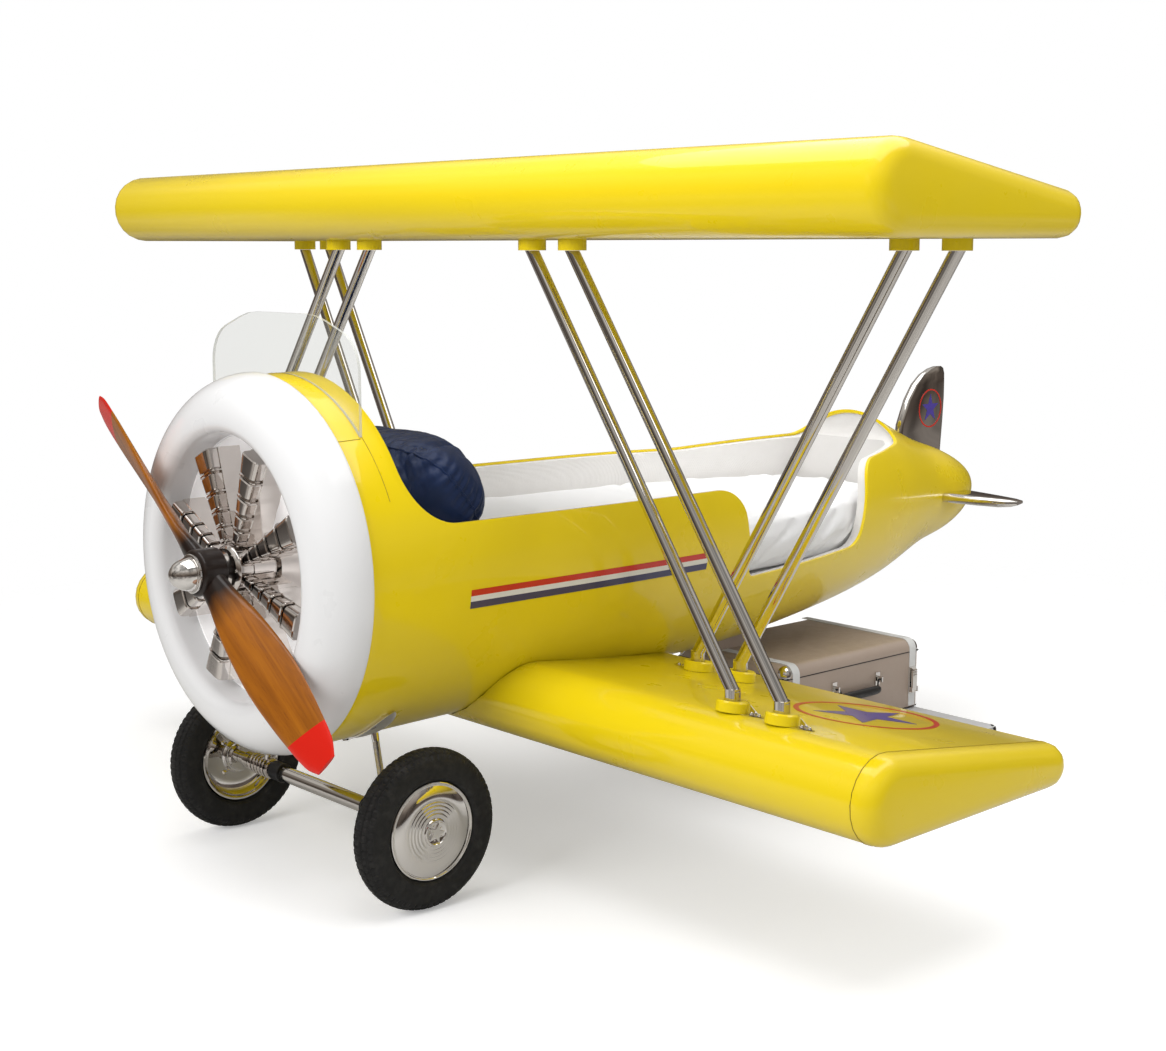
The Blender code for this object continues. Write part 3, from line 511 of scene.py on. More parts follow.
def boolean(obj, other, operation="DIFFERENCE"):
    """Applies a boolean with another piece, which is then removed."""
    add_modifier(obj, "BOOLEAN", operation=operation, solver="EXACT", object=other)
    bpy.context.view_layer.update()
    apply_modifiers(obj)
    bpy.data.objects.remove(other, do_unlink=True)


def join(name, objects):
    """One piece out of several meshes."""
    bm = bmesh.new()
    for obj in objects:
        bm.from_mesh(obj.data)
        bpy.data.objects.remove(obj, do_unlink=True)
    return from_bmesh(name, bm)


def push(obj, move):
    """Moves each vertex by move(position, normal)."""
    mesh = obj.data
    normals = [v.normal.copy() for v in mesh.vertices]
    for vert, normal in zip(mesh.vertices, normals):
        vert.co += move(vert.co.copy(), normal)
    mesh.update()


def polish(paint, nodes, angle=32.0, edge=0.0):
    """Keeps CAD nodes as they are: finer shading, lightly broken edges and their material."""
    for node in nodes:
        obj = NODES[node]
        mesh = obj.data
        for extra in ("custom_normal", "sharp_edge"):
            if extra in mesh.attributes:
                mesh.attributes.remove(mesh.attributes[extra])
        for face in mesh.polygons:
            face.use_smooth = True
        mesh.materials.clear()
        mesh.materials.append(PAINT[paint])
        add_modifier(obj, "WELD", merge_threshold=1e-5)
        if edge:
            add_modifier(obj, "BEVEL", width=edge, segments=2, limit_method="ANGLE",
                         angle_limit=radians(38.0), harden_normals=True)
            add_modifier(obj, "WEIGHTED_NORMAL", weight=80)
        else:
            add_modifier(obj, "EDGE_SPLIT", split_angle=radians(angle))


# ---- hull
def hermite(knots, t, column):
    last = len(knots) - 1
    i = 0
    while i < last - 1 and t > knots[i + 1][0]:
        i += 1

    def slope(j):
        a = knots[max(j - 1, 0)]
        b = knots[min(j + 1, last)]
        return (b[column] - a[column]) / (b[0] - a[0])

    span = knots[i + 1][0] - knots[i][0]
    u = (t - knots[i][0]) / span
    v0, v1 = knots[i][column], knots[i + 1][column]
    d0, d1 = slope(i) * span, slope(i + 1) * span
    return ((2 * u ** 3 - 3 * u ** 2 + 1) * v0 + (u ** 3 - 2 * u ** 2 + u) * d0
            + (3 * u ** 2 - 2 * u ** 3) * v1 + (u ** 3 - u ** 2) * d1)


def hull_at(aft):
    return hermite(HULL, aft, 1), hermite(HULL, aft, 2)


def hull_point(aft, angle, offset=0.0, side=NEAR):
    """Point on the hull at an angle up from the side's own X direction."""
    radius, centre = hull_at(aft)
    return Vector((side * (radius + offset) * cos(angle), at(aft),
                   centre + (radius + offset) * sin(angle)))


def hull_ring(aft, offset, floor=-9.0, ceiling=9.0):
    ring = [hull_point(aft, 2 * pi * (i + 0.5) / HULL_SIDES, offset) for i in range(HULL_SIDES)]
    return [Vector((p.x, p.y, min(max(p.z, floor), ceiling))) for p in ring]


def spaced(first, last, step):
    count = max(1, round((last - first) / step))
    return [first + (last - first) * i / count for i in range(count + 1)]


def opening(name, corners, xs):
    """Prism through a side-view outline (aft, height) over a range of X."""
    side_view = Matrix(((0, 0, 1, 0), (1, 0, 0, DATUM_Y), (0, 1, 0, 0), (0, 0, 0, 1)))
    return prism(name, rounded(corners), side_view, *xs)


def cut_openings(obj, drop, grow):
    """Cuts the cockpit and, on the +X side, the low entry."""
    front = 0.128 - grow
    rear = 2.258 + grow
    rim = RIM_Z - drop
    far = [(front, 1.5, 0), (front, rim, 0.14), (1.80, rim, 0.6),
           (rear - 0.024, rim + 0.036, 0.05), (rear, 1.5, 0)]
    near = [(front, 1.5, 0), (front, rim, 0.14), (1.235, rim, 0.11),
            (1.298, 0.678 - drop, 0.035), (1.846 + grow, 0.704 - drop, 0.06),
            (1.886 + grow, rim + 0.015, 0.08), (rear - 0.024, rim + 0.036, 0.05),
            (rear, 1.5, 0)]
    boolean(obj, opening("far_cut", far, (-0.7, 0.0001)))
    boolean(obj, opening("near_cut", near, (0.0, 0.7)))


def round_rims(obj, width, segments=3):
    """Welds, dissolves slivers left by the cuts and rounds the sharp rims."""
    bm = bmesh.new()
    bm.from_mesh(obj.data)
    bmesh.ops.remove_doubles(bm, verts=bm.verts, dist=0.0004)
    bmesh.ops.dissolve_degenerate(bm, edges=bm.edges, dist=0.0004)
    bm.to_mesh(obj.data)
    bm.free()
    add_modifier(obj, "BEVEL", width=width, segments=segments, limit_method="ANGLE",
                 angle_limit=radians(50.0))
    smooth(apply_modifiers(obj), 40.0)


def build_fuselage():
    rows = spaced(0.0006, 2.60, 0.035) + spaced(2.60, 2.868, 0.02)[1:]
    rings = [hull_ring(aft, 0.0) for aft in rows]
    tip = mean(hull_ring(2.884, 0.0))
    rings.append([tip + Vector((a, -0.003, b))
                  for a, b in circle(HULL_SIDES, 0.012, pi / HULL_SIDES)])
    shell = loft("fuselage_skin", rings)
    boolean(shell, loft("cavity", [hull_ring(aft, -SHELL_WALL) for aft in
                                   [-0.02] + spaced(0.02, CABIN_REAR + 0.035, 0.035)]))
    cut_openings(shell, 0.0, 0.0)
    round_rims(shell, 0.0035)
    dress(shell, "yellow", "yellow_lacquer", "fuselage_shell")


def build_liner():
    inner = -SHELL_WALL - LINER_WALL
    body = loft("cockpit_padding", [hull_ring(aft, -SHELL_WALL - 0.0006) for aft in
                                    spaced(CABIN_FRONT - 0.020, CABIN_REAR + 0.034, 0.035)])
    boolean(body, loft("room", [hull_ring(aft, inner, MATTRESS_LOW.z - 0.006)
                                for aft in spaced(CABIN_FRONT, CABIN_REAR, 0.035)]))
    cut_openings(body, 0.008, 0.008)
    round_rims(body, 0.009, 4)
    dress(body, "liner", "padded_lining", "cockpit_liner")


# ---- cowl, engine and propeller
FRONT = Matrix(((1, 0, 0, 0), (0, 0, -1, DATUM_Y), (0, 1, 0, AXIS_Z), (0, 0, 0, 1)))
CREST_R = 0.362
LIP_R = 0.331
BARRELS = 8
FIRST_BARREL = 114.9      # degrees up from +X
BARREL_ROOT = 0.063
BARREL_TIP = 0.302
BARREL_FACE = -0.099      # aft of the datum
BARREL_DEPTH = 0.094
BARREL_CROWN = 0.030      # how far the front of a barrel bulges past its shoulder
BARREL_BOXY = 0.42        # below 1, the section turns from an ellipse to a box
# Shares of the length at which the barrel is banded.
BARREL_BANDS = [0.0, 0.16, 0.33, 0.52, 0.74, 1.0]


def build_cowl():
    fold = 0.034
    profile = arc((CREST_R, 0.0), RING_R - CREST_R, 90, 0, 26, RING_DEPTH / (RING_R - CREST_R))
    profile[-1] = (RING_R, 0.005)
    profile += [(RING_R - 0.0015, 0.0014), (RING_R - 0.005, 0.0), (LIP_R, 0.0)]
    profile += arc((CREST_R, RING_DEPTH - fold), CREST_R - LIP_R, 180, 96, 12,
                   fold / (CREST_R - LIP_R))
    dress(turned("cowl_ring_skin", profile, FRONT, 160, closed=True),
          "white", "white_lacquer", "cowl_ring")
    dish = [(0.0, -0.098, 0), (0.225, -0.093, 0.10), (0.300, -0.058, 0.05), (0.319, 0.000, 0.03),
            (0.3245, 0.030, 0), (0.330, 0.030, 0), (0.330, -0.004, 0.02), (0.305, -0.064, 0.05),
            (0.24, -0.100, 0.10), (0.0, -0.106, 0)]
    # The dish gets the paler, glowing copy of the white lacquer: painted light for the shaded
    # well.
    dress(turned("cowl_dish", rounded(dish, 8.0), FRONT, 160), "dish", "white_lacquer",
          "cowl_well")


def barrel_section(side, out, r, half, bulge, plate_half):
    """Section of a barrel at radius r: flat plate behind, convex block in front."""
    shoulder = BARREL_FACE + BARREL_CROWN
    points = [(plate_half, BARREL_FACE + BARREL_DEPTH), (plate_half, shoulder + 0.002)]
    for k in range(25):
        c, s = cos(pi * k / 24), sin(pi * k / 24)
        points.append((half * abs(c) ** BARREL_BOXY * (1 if c > 0 else -1),
                       shoulder - BARREL_CROWN * bulge * abs(s) ** BARREL_BOXY))
    points += [(-plate_half, shoulder + 0.002), (-plate_half, BARREL_FACE + BARREL_DEPTH)]
    return [Vector((0, at(aft), AXIS_Z)) + side * across + out * r for across, aft in points]


def build_barrel(index):
    angle = radians(FIRST_BARREL - index * 360.0 / BARRELS)
    side, out = Vector((sin(angle), 0, -cos(angle))), Vector((cos(angle), 0, sin(angle)))
    rings = []
    for first, last in zip(BARREL_BANDS, BARREL_BANDS[1:]):
        low, high = (BARREL_ROOT + (BARREL_TIP - BARREL_ROOT) * share for share in (first, last))
        a, b = (0.0110 + 0.0275 * share for share in (first, last))
        fin = a + 0.0050
        for r, half, bulge in (
                (low, a * 0.82, 0.70), (low + 0.0030, a * 0.82, 0.70), (low + 0.0032, fin, 0.97),
                (low + 0.0066, fin, 0.97), (low + 0.0068, a * 0.82, 0.70),
                (low + 0.0105, a * 0.84, 0.70), (low + 0.0107, a * 0.95, 0.92),
                (low + 0.0130, a * 1.01, 1.0), (high - 0.0035, b * 0.985, 1.0),
                (high - 0.0004, b * 0.93, 0.93)):
            share = first if r < low + 0.02 else last
            rings.append(barrel_section(side, out, r, half, bulge, 0.0125 + 0.0280 * share))
    number = str(index + 1)
    dress(loft("engine_barrel_" + number, rings, angle=28.0), "cast", "chrome",
          "engine_cylinder_" + number)


def build_crankcase():
    profile = [(0.0, 0.118), (0.026, 0.118), (0.028, 0.1205), (0.034, 0.1205), (0.036, 0.118),
               (0.040, 0.112), (0.046, 0.1085), (0.052, 0.1085), (0.058, 0.104), (0.0605, 0.098),
               (0.0605, 0.070), (0.058, 0.068), (0.058, 0.064), (0.0605, 0.062), (0.0605, 0.0),
               (0.075, -0.006), (0.085, -0.0965), (0.0, -0.0965)]
    bolt = [(0.0, 0.1125), (0.0022, 0.1122), (0.0038, 0.1105), (0.0040, 0.1060), (0.0, 0.1060)]
    spots = circle(BARRELS, 0.0505, radians(FIRST_BARREL - 180.0 / BARRELS))
    dress(join("engine_hub", [turned("crankcase", profile, FRONT, 96)]
               + studs(bolt, FRONT, spots, 12)), "cast", "chrome", "engine_crankcase")


PROP_HUB = middle("propeller")
PROP_R = 0.632
PROP_ANGLE = -36.3        # degrees up from +X
# Blade chord against radius.
PROP_CHORDS = [(0.045, 0.074), (0.10, 0.082), (0.20, 0.116), (0.34, 0.142),
               (0.45, 0.137), (0.55, 0.118), (0.60, 0.100), (0.632, 0.064)]


def blade_ring(r, points=24):
    """Lens section of the propeller at a radius; negative radii are the other blade."""
    reach = abs(r)
    share = min(reach / PROP_R, 1.0)
    root = max(0.0, 1.0 - reach / 0.13)
    chord = hermite(PROP_CHORDS, max(reach, 0.045), 1) / 2
    thick = (0.020 - 0.015 * share) * (1 - root) + 0.030 * root
    pitch = radians(52 - 34 * share ** 0.8) * (1 - root) + radians(12) * root
    pitch = pitch if r >= 0 else -pitch
    along = Vector((cos(radians(PROP_ANGLE)), 0, sin(radians(PROP_ANGLE))))
    across = Vector((-along.z, 0, along.x))
    chord_dir = across * cos(pitch) + Y * sin(pitch)
    thick_dir = Y * cos(pitch) - across * sin(pitch)
    return [PROP_HUB + along * r + chord_dir * chord * a + thick_dir * thick * b
            for a, b in circle(points)]


def build_propeller():
    radii = [0.632, 0.630, 0.625, 0.617, 0.606] + spaced(0.03, 0.594, 0.025)[::-1]
    blades = loft("propeller_blades", [blade_ring(-r) for r in radii] + [blade_ring(0.0)]
                  + [blade_ring(r) for r in radii[::-1]], angle=50.0)
    hub = FRONT.copy()
    hub.translation = PROP_HUB
    boolean(blades, turned("boss", [(0.0, 0.034)] + arc((0.050, 0.026), 0.008, 90, 0, 6)
                           + arc((0.050, -0.026), 0.008, 0, -90, 6) + [(0.0, -0.034)], hub, 72),
            "UNION")
    dress(smooth(blades, 42.0), "wood", "varnished_wood", "propeller", body="propeller")
    profile = [(0.0, 0.2610), (0.004, 0.2607), (0.009, 0.2592), (0.015, 0.2564), (0.021, 0.2522),
               (0.027, 0.2464), (0.032, 0.2395), (0.036, 0.2320), (0.039, 0.2240),
               (0.041, 0.2155), (0.0417, 0.2100), (0.0405, 0.2080), (0.0405, 0.2066),
               (0.0440, 0.2062), (0.0470, 0.2055), (0.0485, 0.2040), (0.0485, 0.2000),
               (0.0478, 0.1992), (0.0, 0.1992)]
    dress(turned("spinner_dome", profile, FRONT, 72), "chrome", "chrome", "spinner",
          body="propeller")


# ---- wheels and gear
SIDEWAYS = Matrix(((0, 0, 1, 0), (0, 1, 0, 0), (-1, 0, 0, 0), (0, 0, 0, 1)))
RIM_R = 0.122
TREAD_BLOCKS = 64
TUBE_R = 0.0212           # axle tube
RIPPLE = 0.0092           # spacing of the hub cap's ripples


def wheel_place(side, x=WHEEL.x):
    """Axes of a wheel: local Z runs outwards along the axle."""
    outward = Matrix.Rotation(0 if side > 0 else pi, 4, "Z")
    return Matrix.Translation((side * x, WHEEL.y, WHEEL.z)) @ outward @ SIDEWAYS


def build_tyre(side, word):
    """Carcass turned from its section, with tread blocks and shoulder ribs pressed in."""
    columns = TREAD_BLOCKS * 4
    half_section = 0.036
    bead = WHEEL_R - half_section
    profile = [(RIM_R + 0.0006, 0.027), (0.1255, 0.0325), (0.130, 0.0352), (0.1315, 0.0372),
               (0.1335, 0.0378), (0.136, 0.0374), (0.142, 0.0381)]
    profile += [(bead + half_section * cos(radians(a)), (TYRE_HALF - 0.0008) * sin(radians(a)))
                for a in range(76, -77, -4)]
    profile += [(0.142, -0.0381), (0.136, -0.0374), (0.1315, -0.0372), (0.130, -0.0352),
                (0.1255, -0.0325), (RIM_R + 0.0006, -0.0195)]
    place = wheel_place(side)
    rings = []
    for i, (c, s) in enumerate(circle(columns)):
        ring = []
        for r, h in profile:
            row = 0 if abs(h) < 0.0125 else (1 if abs(h) < 0.026 else 2)
            tread = r > bead + 0.015
            gap = (i + row * 2) % 4 == 0
            channel = tread and (0.0105 < abs(h) < 0.0145 or 0.0235 < abs(h) < 0.0275)
            dig = 0.0034 if channel else (0.0030 if tread and gap else 0.0)
            rib = 0.0007 if (not tread and bead + 0.002 < r and i % 2) else 0.0
            flank = 1.0 - (0.9 * rib + 0.25 * dig) / half_section
            ring.append(place @ Vector(((r - dig - rib) * c, (r - dig - rib) * s, h * flank)))
        rings.append(ring)
    dress(loft("tyre_skin_" + word, rings, closed=True, angle=24.0), "rubber", "tyre_rubber",
          "tyre_" + word, body="wheel_" + word)


def star(reach, waist):
    """Ten (a, b) corners of a five-pointed star."""
    tips, dips = circle(5, reach, pi / 2), circle(5, waist, pi / 2 + pi / 5)
    return [corner for pair in zip(tips, dips) for corner in pair]


def build_wheel(side, word):
    place = wheel_place(side)
    profile = [(0.0, 0.0468), (0.026, 0.0468), (0.0272, 0.0476), (0.0285, 0.0492), (0.031, 0.0496),
               (0.033, 0.0488), (0.034, 0.0468), (0.0345, 0.0440), (0.037, 0.0432)]
    profile += [(r, 0.0436 - 0.076 * (r - 0.040) - 0.00045 * cos(2 * pi * (r - 0.040) / RIPPLE))
                for r in spaced(0.0395, 0.0765, 0.0012)]
    profile += [(r, 0.0405 - 6.5 * (r - 0.077) ** 2 - 0.03 * (r - 0.077))
                for r in (0.077, 0.084, 0.091, 0.098, 0.104, 0.109, 0.1125)]
    profile += [(0.1140, 0.0318), (0.1155, 0.0316), (0.1170, 0.0330), (0.1195, 0.0333),
                (0.1212, 0.0322), (RIM_R, 0.0300), (RIM_R, -0.0180), (0.1195, -0.0262),
                (0.1150, -0.0268), (0.1120, -0.0250), (0.1090, -0.0180), (0.1020, -0.0110),
                (0.0900, -0.0065), (0.0600, -0.0052), (0.0480, -0.0050), (0.0455, -0.0072),
                (0.0440, -0.0160), (0.0420, -0.0185), (0.0380, -0.0190), (0.0365, -0.0220),
                (0.0355, -0.0295), (0.0, -0.0300)]
    pieces = [turned("disc", profile, place, 144, angle=40.0),
              prism("badge", star(0.024, 0.0100), place, 0.0462, 0.0492, 30.0)]
    pieces += studs([(0.0, 0.0486), (0.0018, 0.0482), (0.0026, 0.0470), (0.0026, 0.0462),
                     (0.0, 0.0462)], place, circle(5, 0.018, pi / 2 + pi / 5), 10)
    pieces += studs([(0.0, -0.0045), (0.0062, -0.0045), (0.0062, -0.0105), (0.0040, -0.0130),
                     (0.0, -0.0130)], place, circle(4, 0.058, pi / 4), 6)
    dress(join("wheel_disc_" + word, pieces), "chrome", "chrome", "wheel_" + word,
          body="wheel_" + word)


def build_axle_fittings():
    """Ribbed bushing and black sleeve on each end of the axle tube."""
    sleeve = [(TUBE_R, 0.235), (0.0245, 0.235), (0.0255, 0.2335), (0.0255, 0.1915),
              (0.0245, 0.190), (TUBE_R, 0.190)]
    bush = [(TUBE_R, 0.338), (0.026, 0.338)]
    for k in range(6):
        top = 0.334 - 0.0155 * k
        bush += [(0.0275, top), (0.0275, top - 0.005), (0.0235, top - 0.0065),
                 (0.0235, top - 0.0130)]
    bush += [(0.0245, 0.237), (TUBE_R, 0.237)]
    for side, word in SIDES:
        for name, profile, paint, slot in (("axle_sleeve_", sleeve, "black", "black_parts"),
                                           ("axle_bushing_", bush, "cast", "chrome")):
            dress(turned(name + word, profile, wheel_place(side, 0.0), 48, closed=True),
                  paint, slot)


# ---- decals and seams
def drape(name, grid, place, thickness=0.0005, lift=0.0003, closed=False):
    """Thin film on a surface: grid is rows of (u, v), place turns (u, v) into point, normal."""
    placed = [[place(u, v) for u, v in row] for row in grid]
    top, bottom = ([[p + n * high for p, n in row] for row in placed]
                   for high in (lift + thickness, lift))
    return plate(name, top, bottom, closed)


def hull_side(aft, z):
    """Point and normal at (aft, height) on the hull's near flank."""
    radius, centre = hull_at(aft)
    angle = asin((z - centre) / radius)
    return hull_point(aft, angle), Vector((cos(angle), 0, sin(angle)))


def build_stripes():
    """Three bands along the near flank."""
    first, last, top, bottom = 0.288, 1.104, 0.776, 0.729
    for paint, high, low in (("red", 0.0, 0.33), ("cream", 0.33, 0.62), ("navy_film", 0.62, 1.0)):
        heights = [top + (bottom - top) * (high + (low - high) * k / 2) for k in range(3)]
        grid = [[(aft, z) for z in heights] for aft in spaced(first, last, 0.04)]
        dress(drape("stripe_" + paint.split("_")[0], grid, hull_side), paint, "yellow_lacquer")


def surface_place(node, origin, across, up, out):
    """Places (u, v) by dropping it onto a CAD node from outside along -out."""
    tree = surface_tree(NODES[node].data)

    def place(u, v):
        spot = origin + across * u + up * v
        point, normal, _, _ = tree.ray_cast(spot + out * 0.2, -out, 0.5)
        if point is None:
            return spot, out
        return point, (normal if normal.dot(out) > 0 else -normal)
    return place


def build_roundel(name, radius, place):
    """A ring with a star in it."""
    band = [[(a * share, b * share) for share in (0.925, 1.0)] for a, b in circle(96, radius)]
    dress(drape(name + "_ring", band, place, closed=True), "red", "yellow_lacquer")
    corners = [Vector(corner) for corner in star(0.74 * radius, 0.29 * radius)]
    rays = []
    for here, after in zip(corners, corners[1:] + corners[:1]):
        rays += [[tuple(here.lerp(after, k / 6) * share) for share in (0.02, 0.35, 0.7, 1.0)]
                 for k in range(6)]
    dress(drape(name + "_star", rays, place, closed=True), "violet", "yellow_lacquer")


def build_roundels():
    for side, word in SIDES:
        wing = Vector((side * 1.165, at(0.925), middle("lower_wing").z))
        build_roundel("wing_roundel_" + word, 0.172,
                      surface_place("lower_wing", wing, X * side, Y, Z))
        build_roundel("fin_roundel_" + word, 0.066,
                      surface_place("tail_fin", Vector((0, at(2.648), 1.046)), Y * side, Z,
                                    X * side))


def build_hood_seams():
    """Joint lines of the hood panel the windshield stands in."""
    proud = 0.0002
    for side, word in SIDES:
        arch = [hull_point(0.070 + 0.0003 * max(0, 60 - a), radians(a), proud, side)
                for a in range(90, 21, -3)]
        edge = [hull_point(aft, radians(45.0), proud, side) for aft in spaced(0.004, 0.068, 0.01)]
        for label, path in (("arc", arch), ("edge", edge)):
            dress(sweep("hood_seam_%s_%s" % (label, word), path, 0.0007, 8),
                  "seam", "yellow_lacquer")


def build_cap_seams():
    """Joint line where each rounded tip cap meets the lower wing."""
    low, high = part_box("lower_wing")
    for edge_x, word in ((high.x, "near"), (low.x, "far")):
        rim = {(round(p.y, 5), round(p.z, 5)): p for p in world_points("lower_wing")
               if abs(p.x - edge_x) < 0.0004}.values()
        centre = mean(rim)
        path = sorted(rim, key=lambda p: atan2(p.z - centre.z, p.y - centre.y))
        path = [p + (p - centre).normalized() * 0.0003 for p in path]
        dress(sweep("wing_cap_seam_" + word, path, 0.0011, 6, closed=True),
              "seam", "yellow_lacquer")


# ---- wing fittings
STRUT_SPOTS = ("front_inner", "front_outer", "rear_inner", "rear_outer")


def build_gussets():
    """Small chrome corner plates with two bolts beside each lower flange."""
    length = 0.050
    bolt = [(0.0, 0.0085), (0.0022, 0.0082), (0.0042, 0.0066), (0.0048, 0.0044),
            (0.0062, 0.0040), (0.0062, 0.0026), (0.0, 0.0026)]
    for label in STRUT_SPOTS:
        for side, word in SIDES:
            disc = "mount_disc_%s_%s" % (word, label)
            outward = side if label.startswith("front") else -side
            origin = middle(disc) + Vector((outward * (extent(disc).x / 2 + 0.002), 0.004, 0))
            place = surface_place("lower_wing", origin, X * outward, Y, Z)
            grid = [[(length * i / 7, v * (0.017 * (1 - i / 7) + 0.0035))
                     for v in (-1, -0.5, 0, 0.5, 1)] for i in range(8)]
            pieces = [drape("plate", grid, place, 0.0022, 0.0004)]
            for u in (0.013, 0.036):
                pieces.append(turned("bolt", bolt, upright(*place(u, 0.0)), 16))
            point, normal = place(0.0, 0.0)
            standing = Matrix((X * outward, normal, Y)).transposed().to_4x4()
            web = prism("web", [(0.002, 0.0024), (0.030, 0.0024), (0.002, 0.020)],
                        Matrix.Translation(point + Y * 0.008) @ standing, -0.001, 0.001)
            dress(join("gusset_%s_%s" % (word, label), pieces + [web]), "chrome", "chrome")


# ---- travel cases
STRAP_HALF = 0.015
LID_EDGE_R = 0.030
SKIN = 0.0011             # how far straps and corner caps stand off the case


def build_straps():
    """White straps over the lid and down the front, under the two latches."""
    section = ((-1, -0.0009), (1, -0.0009), (1, 0.0006), (0.86, SKIN), (-0.86, SKIN), (-1, 0.0006))
    for word, start_x in (("front", 0.128), ("rear", CASE_LOW.x + 0.001)):
        y = middle("latch_base_" + word).y
        path = [(start_x, LID_TOP + SKIN), (0.25, LID_TOP + SKIN)]
        path += arc((CASE_HIGH.x - LID_EDGE_R, LID_TOP - LID_EDGE_R), LID_EDGE_R + SKIN, 90, 0, 6)
        path += [(CASE_HIGH.x + SKIN, z) for z in (0.33, 0.28, 0.23, CASE_LOW.z + 0.008)]
        path = [Vector((x, y, z)) for x, z in path]
        rows = []
        for i, point in enumerate(path):
            along = (path[min(i + 1, len(path) - 1)] - path[max(i - 1, 0)]).normalized()
            out = Y.cross(along)
            out = out if out.x + out.z > 0 else -out
            rows.append([point + Y * s * STRAP_HALF + out * t for s, t in section])
        dress(loft("case_strap_" + word, rows), "strap", "taupe_leather")


def grown_copy(name, node, centre):
    """A copy of a case half standing a skin's thickness proud all round."""
    bm = bmesh.new()
    bm.from_mesh(NODES[node].data)
    bm.transform(NODES[node].matrix_world)
    bmesh.ops.remove_doubles(bm, verts=bm.verts, dist=0.00001)
    half = extent(node) / 2
    for vert in bm.verts:
        for axis in range(3):
            away = vert.co[axis] - centre[axis]
            vert.co[axis] = centre[axis] + away * (1 + SKIN / half[axis])
    return from_bmesh(name, bm)


def build_case_trim():
    """Beads along the seam, the foot and the step, and rounded caps on the top corners."""
    inset = Vector((0.0035, 0.0035, 0))
    for name, low, high, z, corner, radius, paint, slot in (
            ("case_seam_bead", CASE_LOW, CASE_HIGH, SEAM_Z - 0.0006, 0.010, 0.0016,
             "black", "black_parts"),
            ("case_foot_piping", CASE_LOW + inset * 0.6, CASE_HIGH - inset * 0.6,
             CASE_LOW.z + 0.0035, 0.010, 0.0018, "black", "black_parts"),
            ("step_case_piping", STEP_LOW + inset, STEP_HIGH - inset,
             STEP_HIGH.z - 0.0040, 0.014, 0.0020, "strap", "grey_case")):
        outline = rounded([(low.x, low.y, corner), (high.x, low.y, corner),
                           (high.x, high.y, corner), (low.x, high.y, corner)], 18.0)
        dress(sweep(name, [Vector((a, b, z)) for a, b in outline], radius, 8, closed=True),
              paint, slot)
    lid = (Vector((CASE_LOW.x, CASE_LOW.y, SEAM_Z)), Vector((CASE_HIGH.x, CASE_HIGH.y, LID_TOP)))
    for label, node, (low, high), reach, paint, slot in (
            ("case", "case_lid", lid, 0.034, "chrome", "chrome"),
            ("step", "step_case", (STEP_LOW, STEP_HIGH), 0.022, "black", "black_parts")):
        for count, (x, y) in enumerate(((low.x, low.y), (low.x, high.y), (high.x, low.y),
                                        (high.x, high.y))):
            cap = grown_copy("%s_corner_cap_%d" % (label, count), node, (low + high) / 2)
            ball = bmesh.new()
            bmesh.ops.create_icosphere(ball, subdivisions=4, radius=reach)
            bmesh.ops.translate(ball, verts=ball.verts, vec=(x, y, high.z - 0.004))
            boolean(cap, from_bmesh("ball", ball), "INTERSECT")
            dress(cap, paint, slot)


def build_latch_dials():
    """Three small wheels on each latch base."""
    for word in ("front", "rear"):
        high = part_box("latch_base_" + word)[1]
        y = middle("latch_base_" + word).y
        pieces = [sweep("dial", [Vector((high.x - 0.001, y + half, high.z - 0.010 - 0.008 * k))
                                 for half in (-0.006, 0.006)], 0.003, 12) for k in range(3)]
        dress(join("latch_dials_" + word, pieces), "chrome", "chrome")


# ---- gear plates and legs
GEAR_LEAF_ANGLE = -62.5   # degrees up from +X
GEAR_LEAF_HALF = 0.125
GEAR_LEAF_WIDE = 0.030
THREAD_PITCH = 0.0030


def build_gear_leaf(side, word):
    """Leaf plate bent across the belly with a rolled edge."""
    aft = middle("gear_plate_" + word).y - DATUM_Y
    radius = hull_at(aft)[0]
    top, bottom = [], []
    for i in range(49):
        t = i / 24 - 1
        ang = radians(GEAR_LEAF_ANGLE) + GEAR_LEAF_HALF * t / radius
        half = GEAR_LEAF_WIDE * max(1 - abs(t) ** 2.2, 0.0) ** 0.62 + 0.0006
        across = [k / 4 for k in range(-4, 5)]
        top.append([hull_point(aft + half * u, ang, 0.0032 + 0.0022 * u ** 4, side)
                    for u in across])
        bottom.append([hull_point(aft + half * u, ang, 0.0010, side) for u in across])
    dress(plate("gear_leaf_" + word, top, bottom), "chrome", "chrome", "gear_plate_" + word)


def build_gear_rod(word):
    """Threaded leg from the leaf plate down to the axle."""
    points = world_points("gear_leg_" + word)
    lowest, highest = min(p.z for p in points), max(p.z for p in points)
    foot = mean([p for p in points if p.z < lowest + 0.012])
    head = mean([p for p in points if p.z > highest - 0.012])
    along = (head - foot).normalized()
    foot = foot - along * 0.004
    length = (head - foot).length - 0.002
    profile = [(0.0, 0.0), (0.0098, 0.0), (0.0098, 0.022)]
    for k in range(int((length - 0.040) / THREAD_PITCH)):
        h = 0.023 + THREAD_PITCH * k
        profile += [(0.0082, h), (0.0094, h + THREAD_PITCH * 0.45)]
    profile += [(0.0098, length - 0.014), (0.0098, length), (0.0, length)]
    dress(turned("gear_rod_" + word, profile, upright(foot, along), 32, angle=25.0),
          "chrome", "chrome", "gear_leg_" + word)


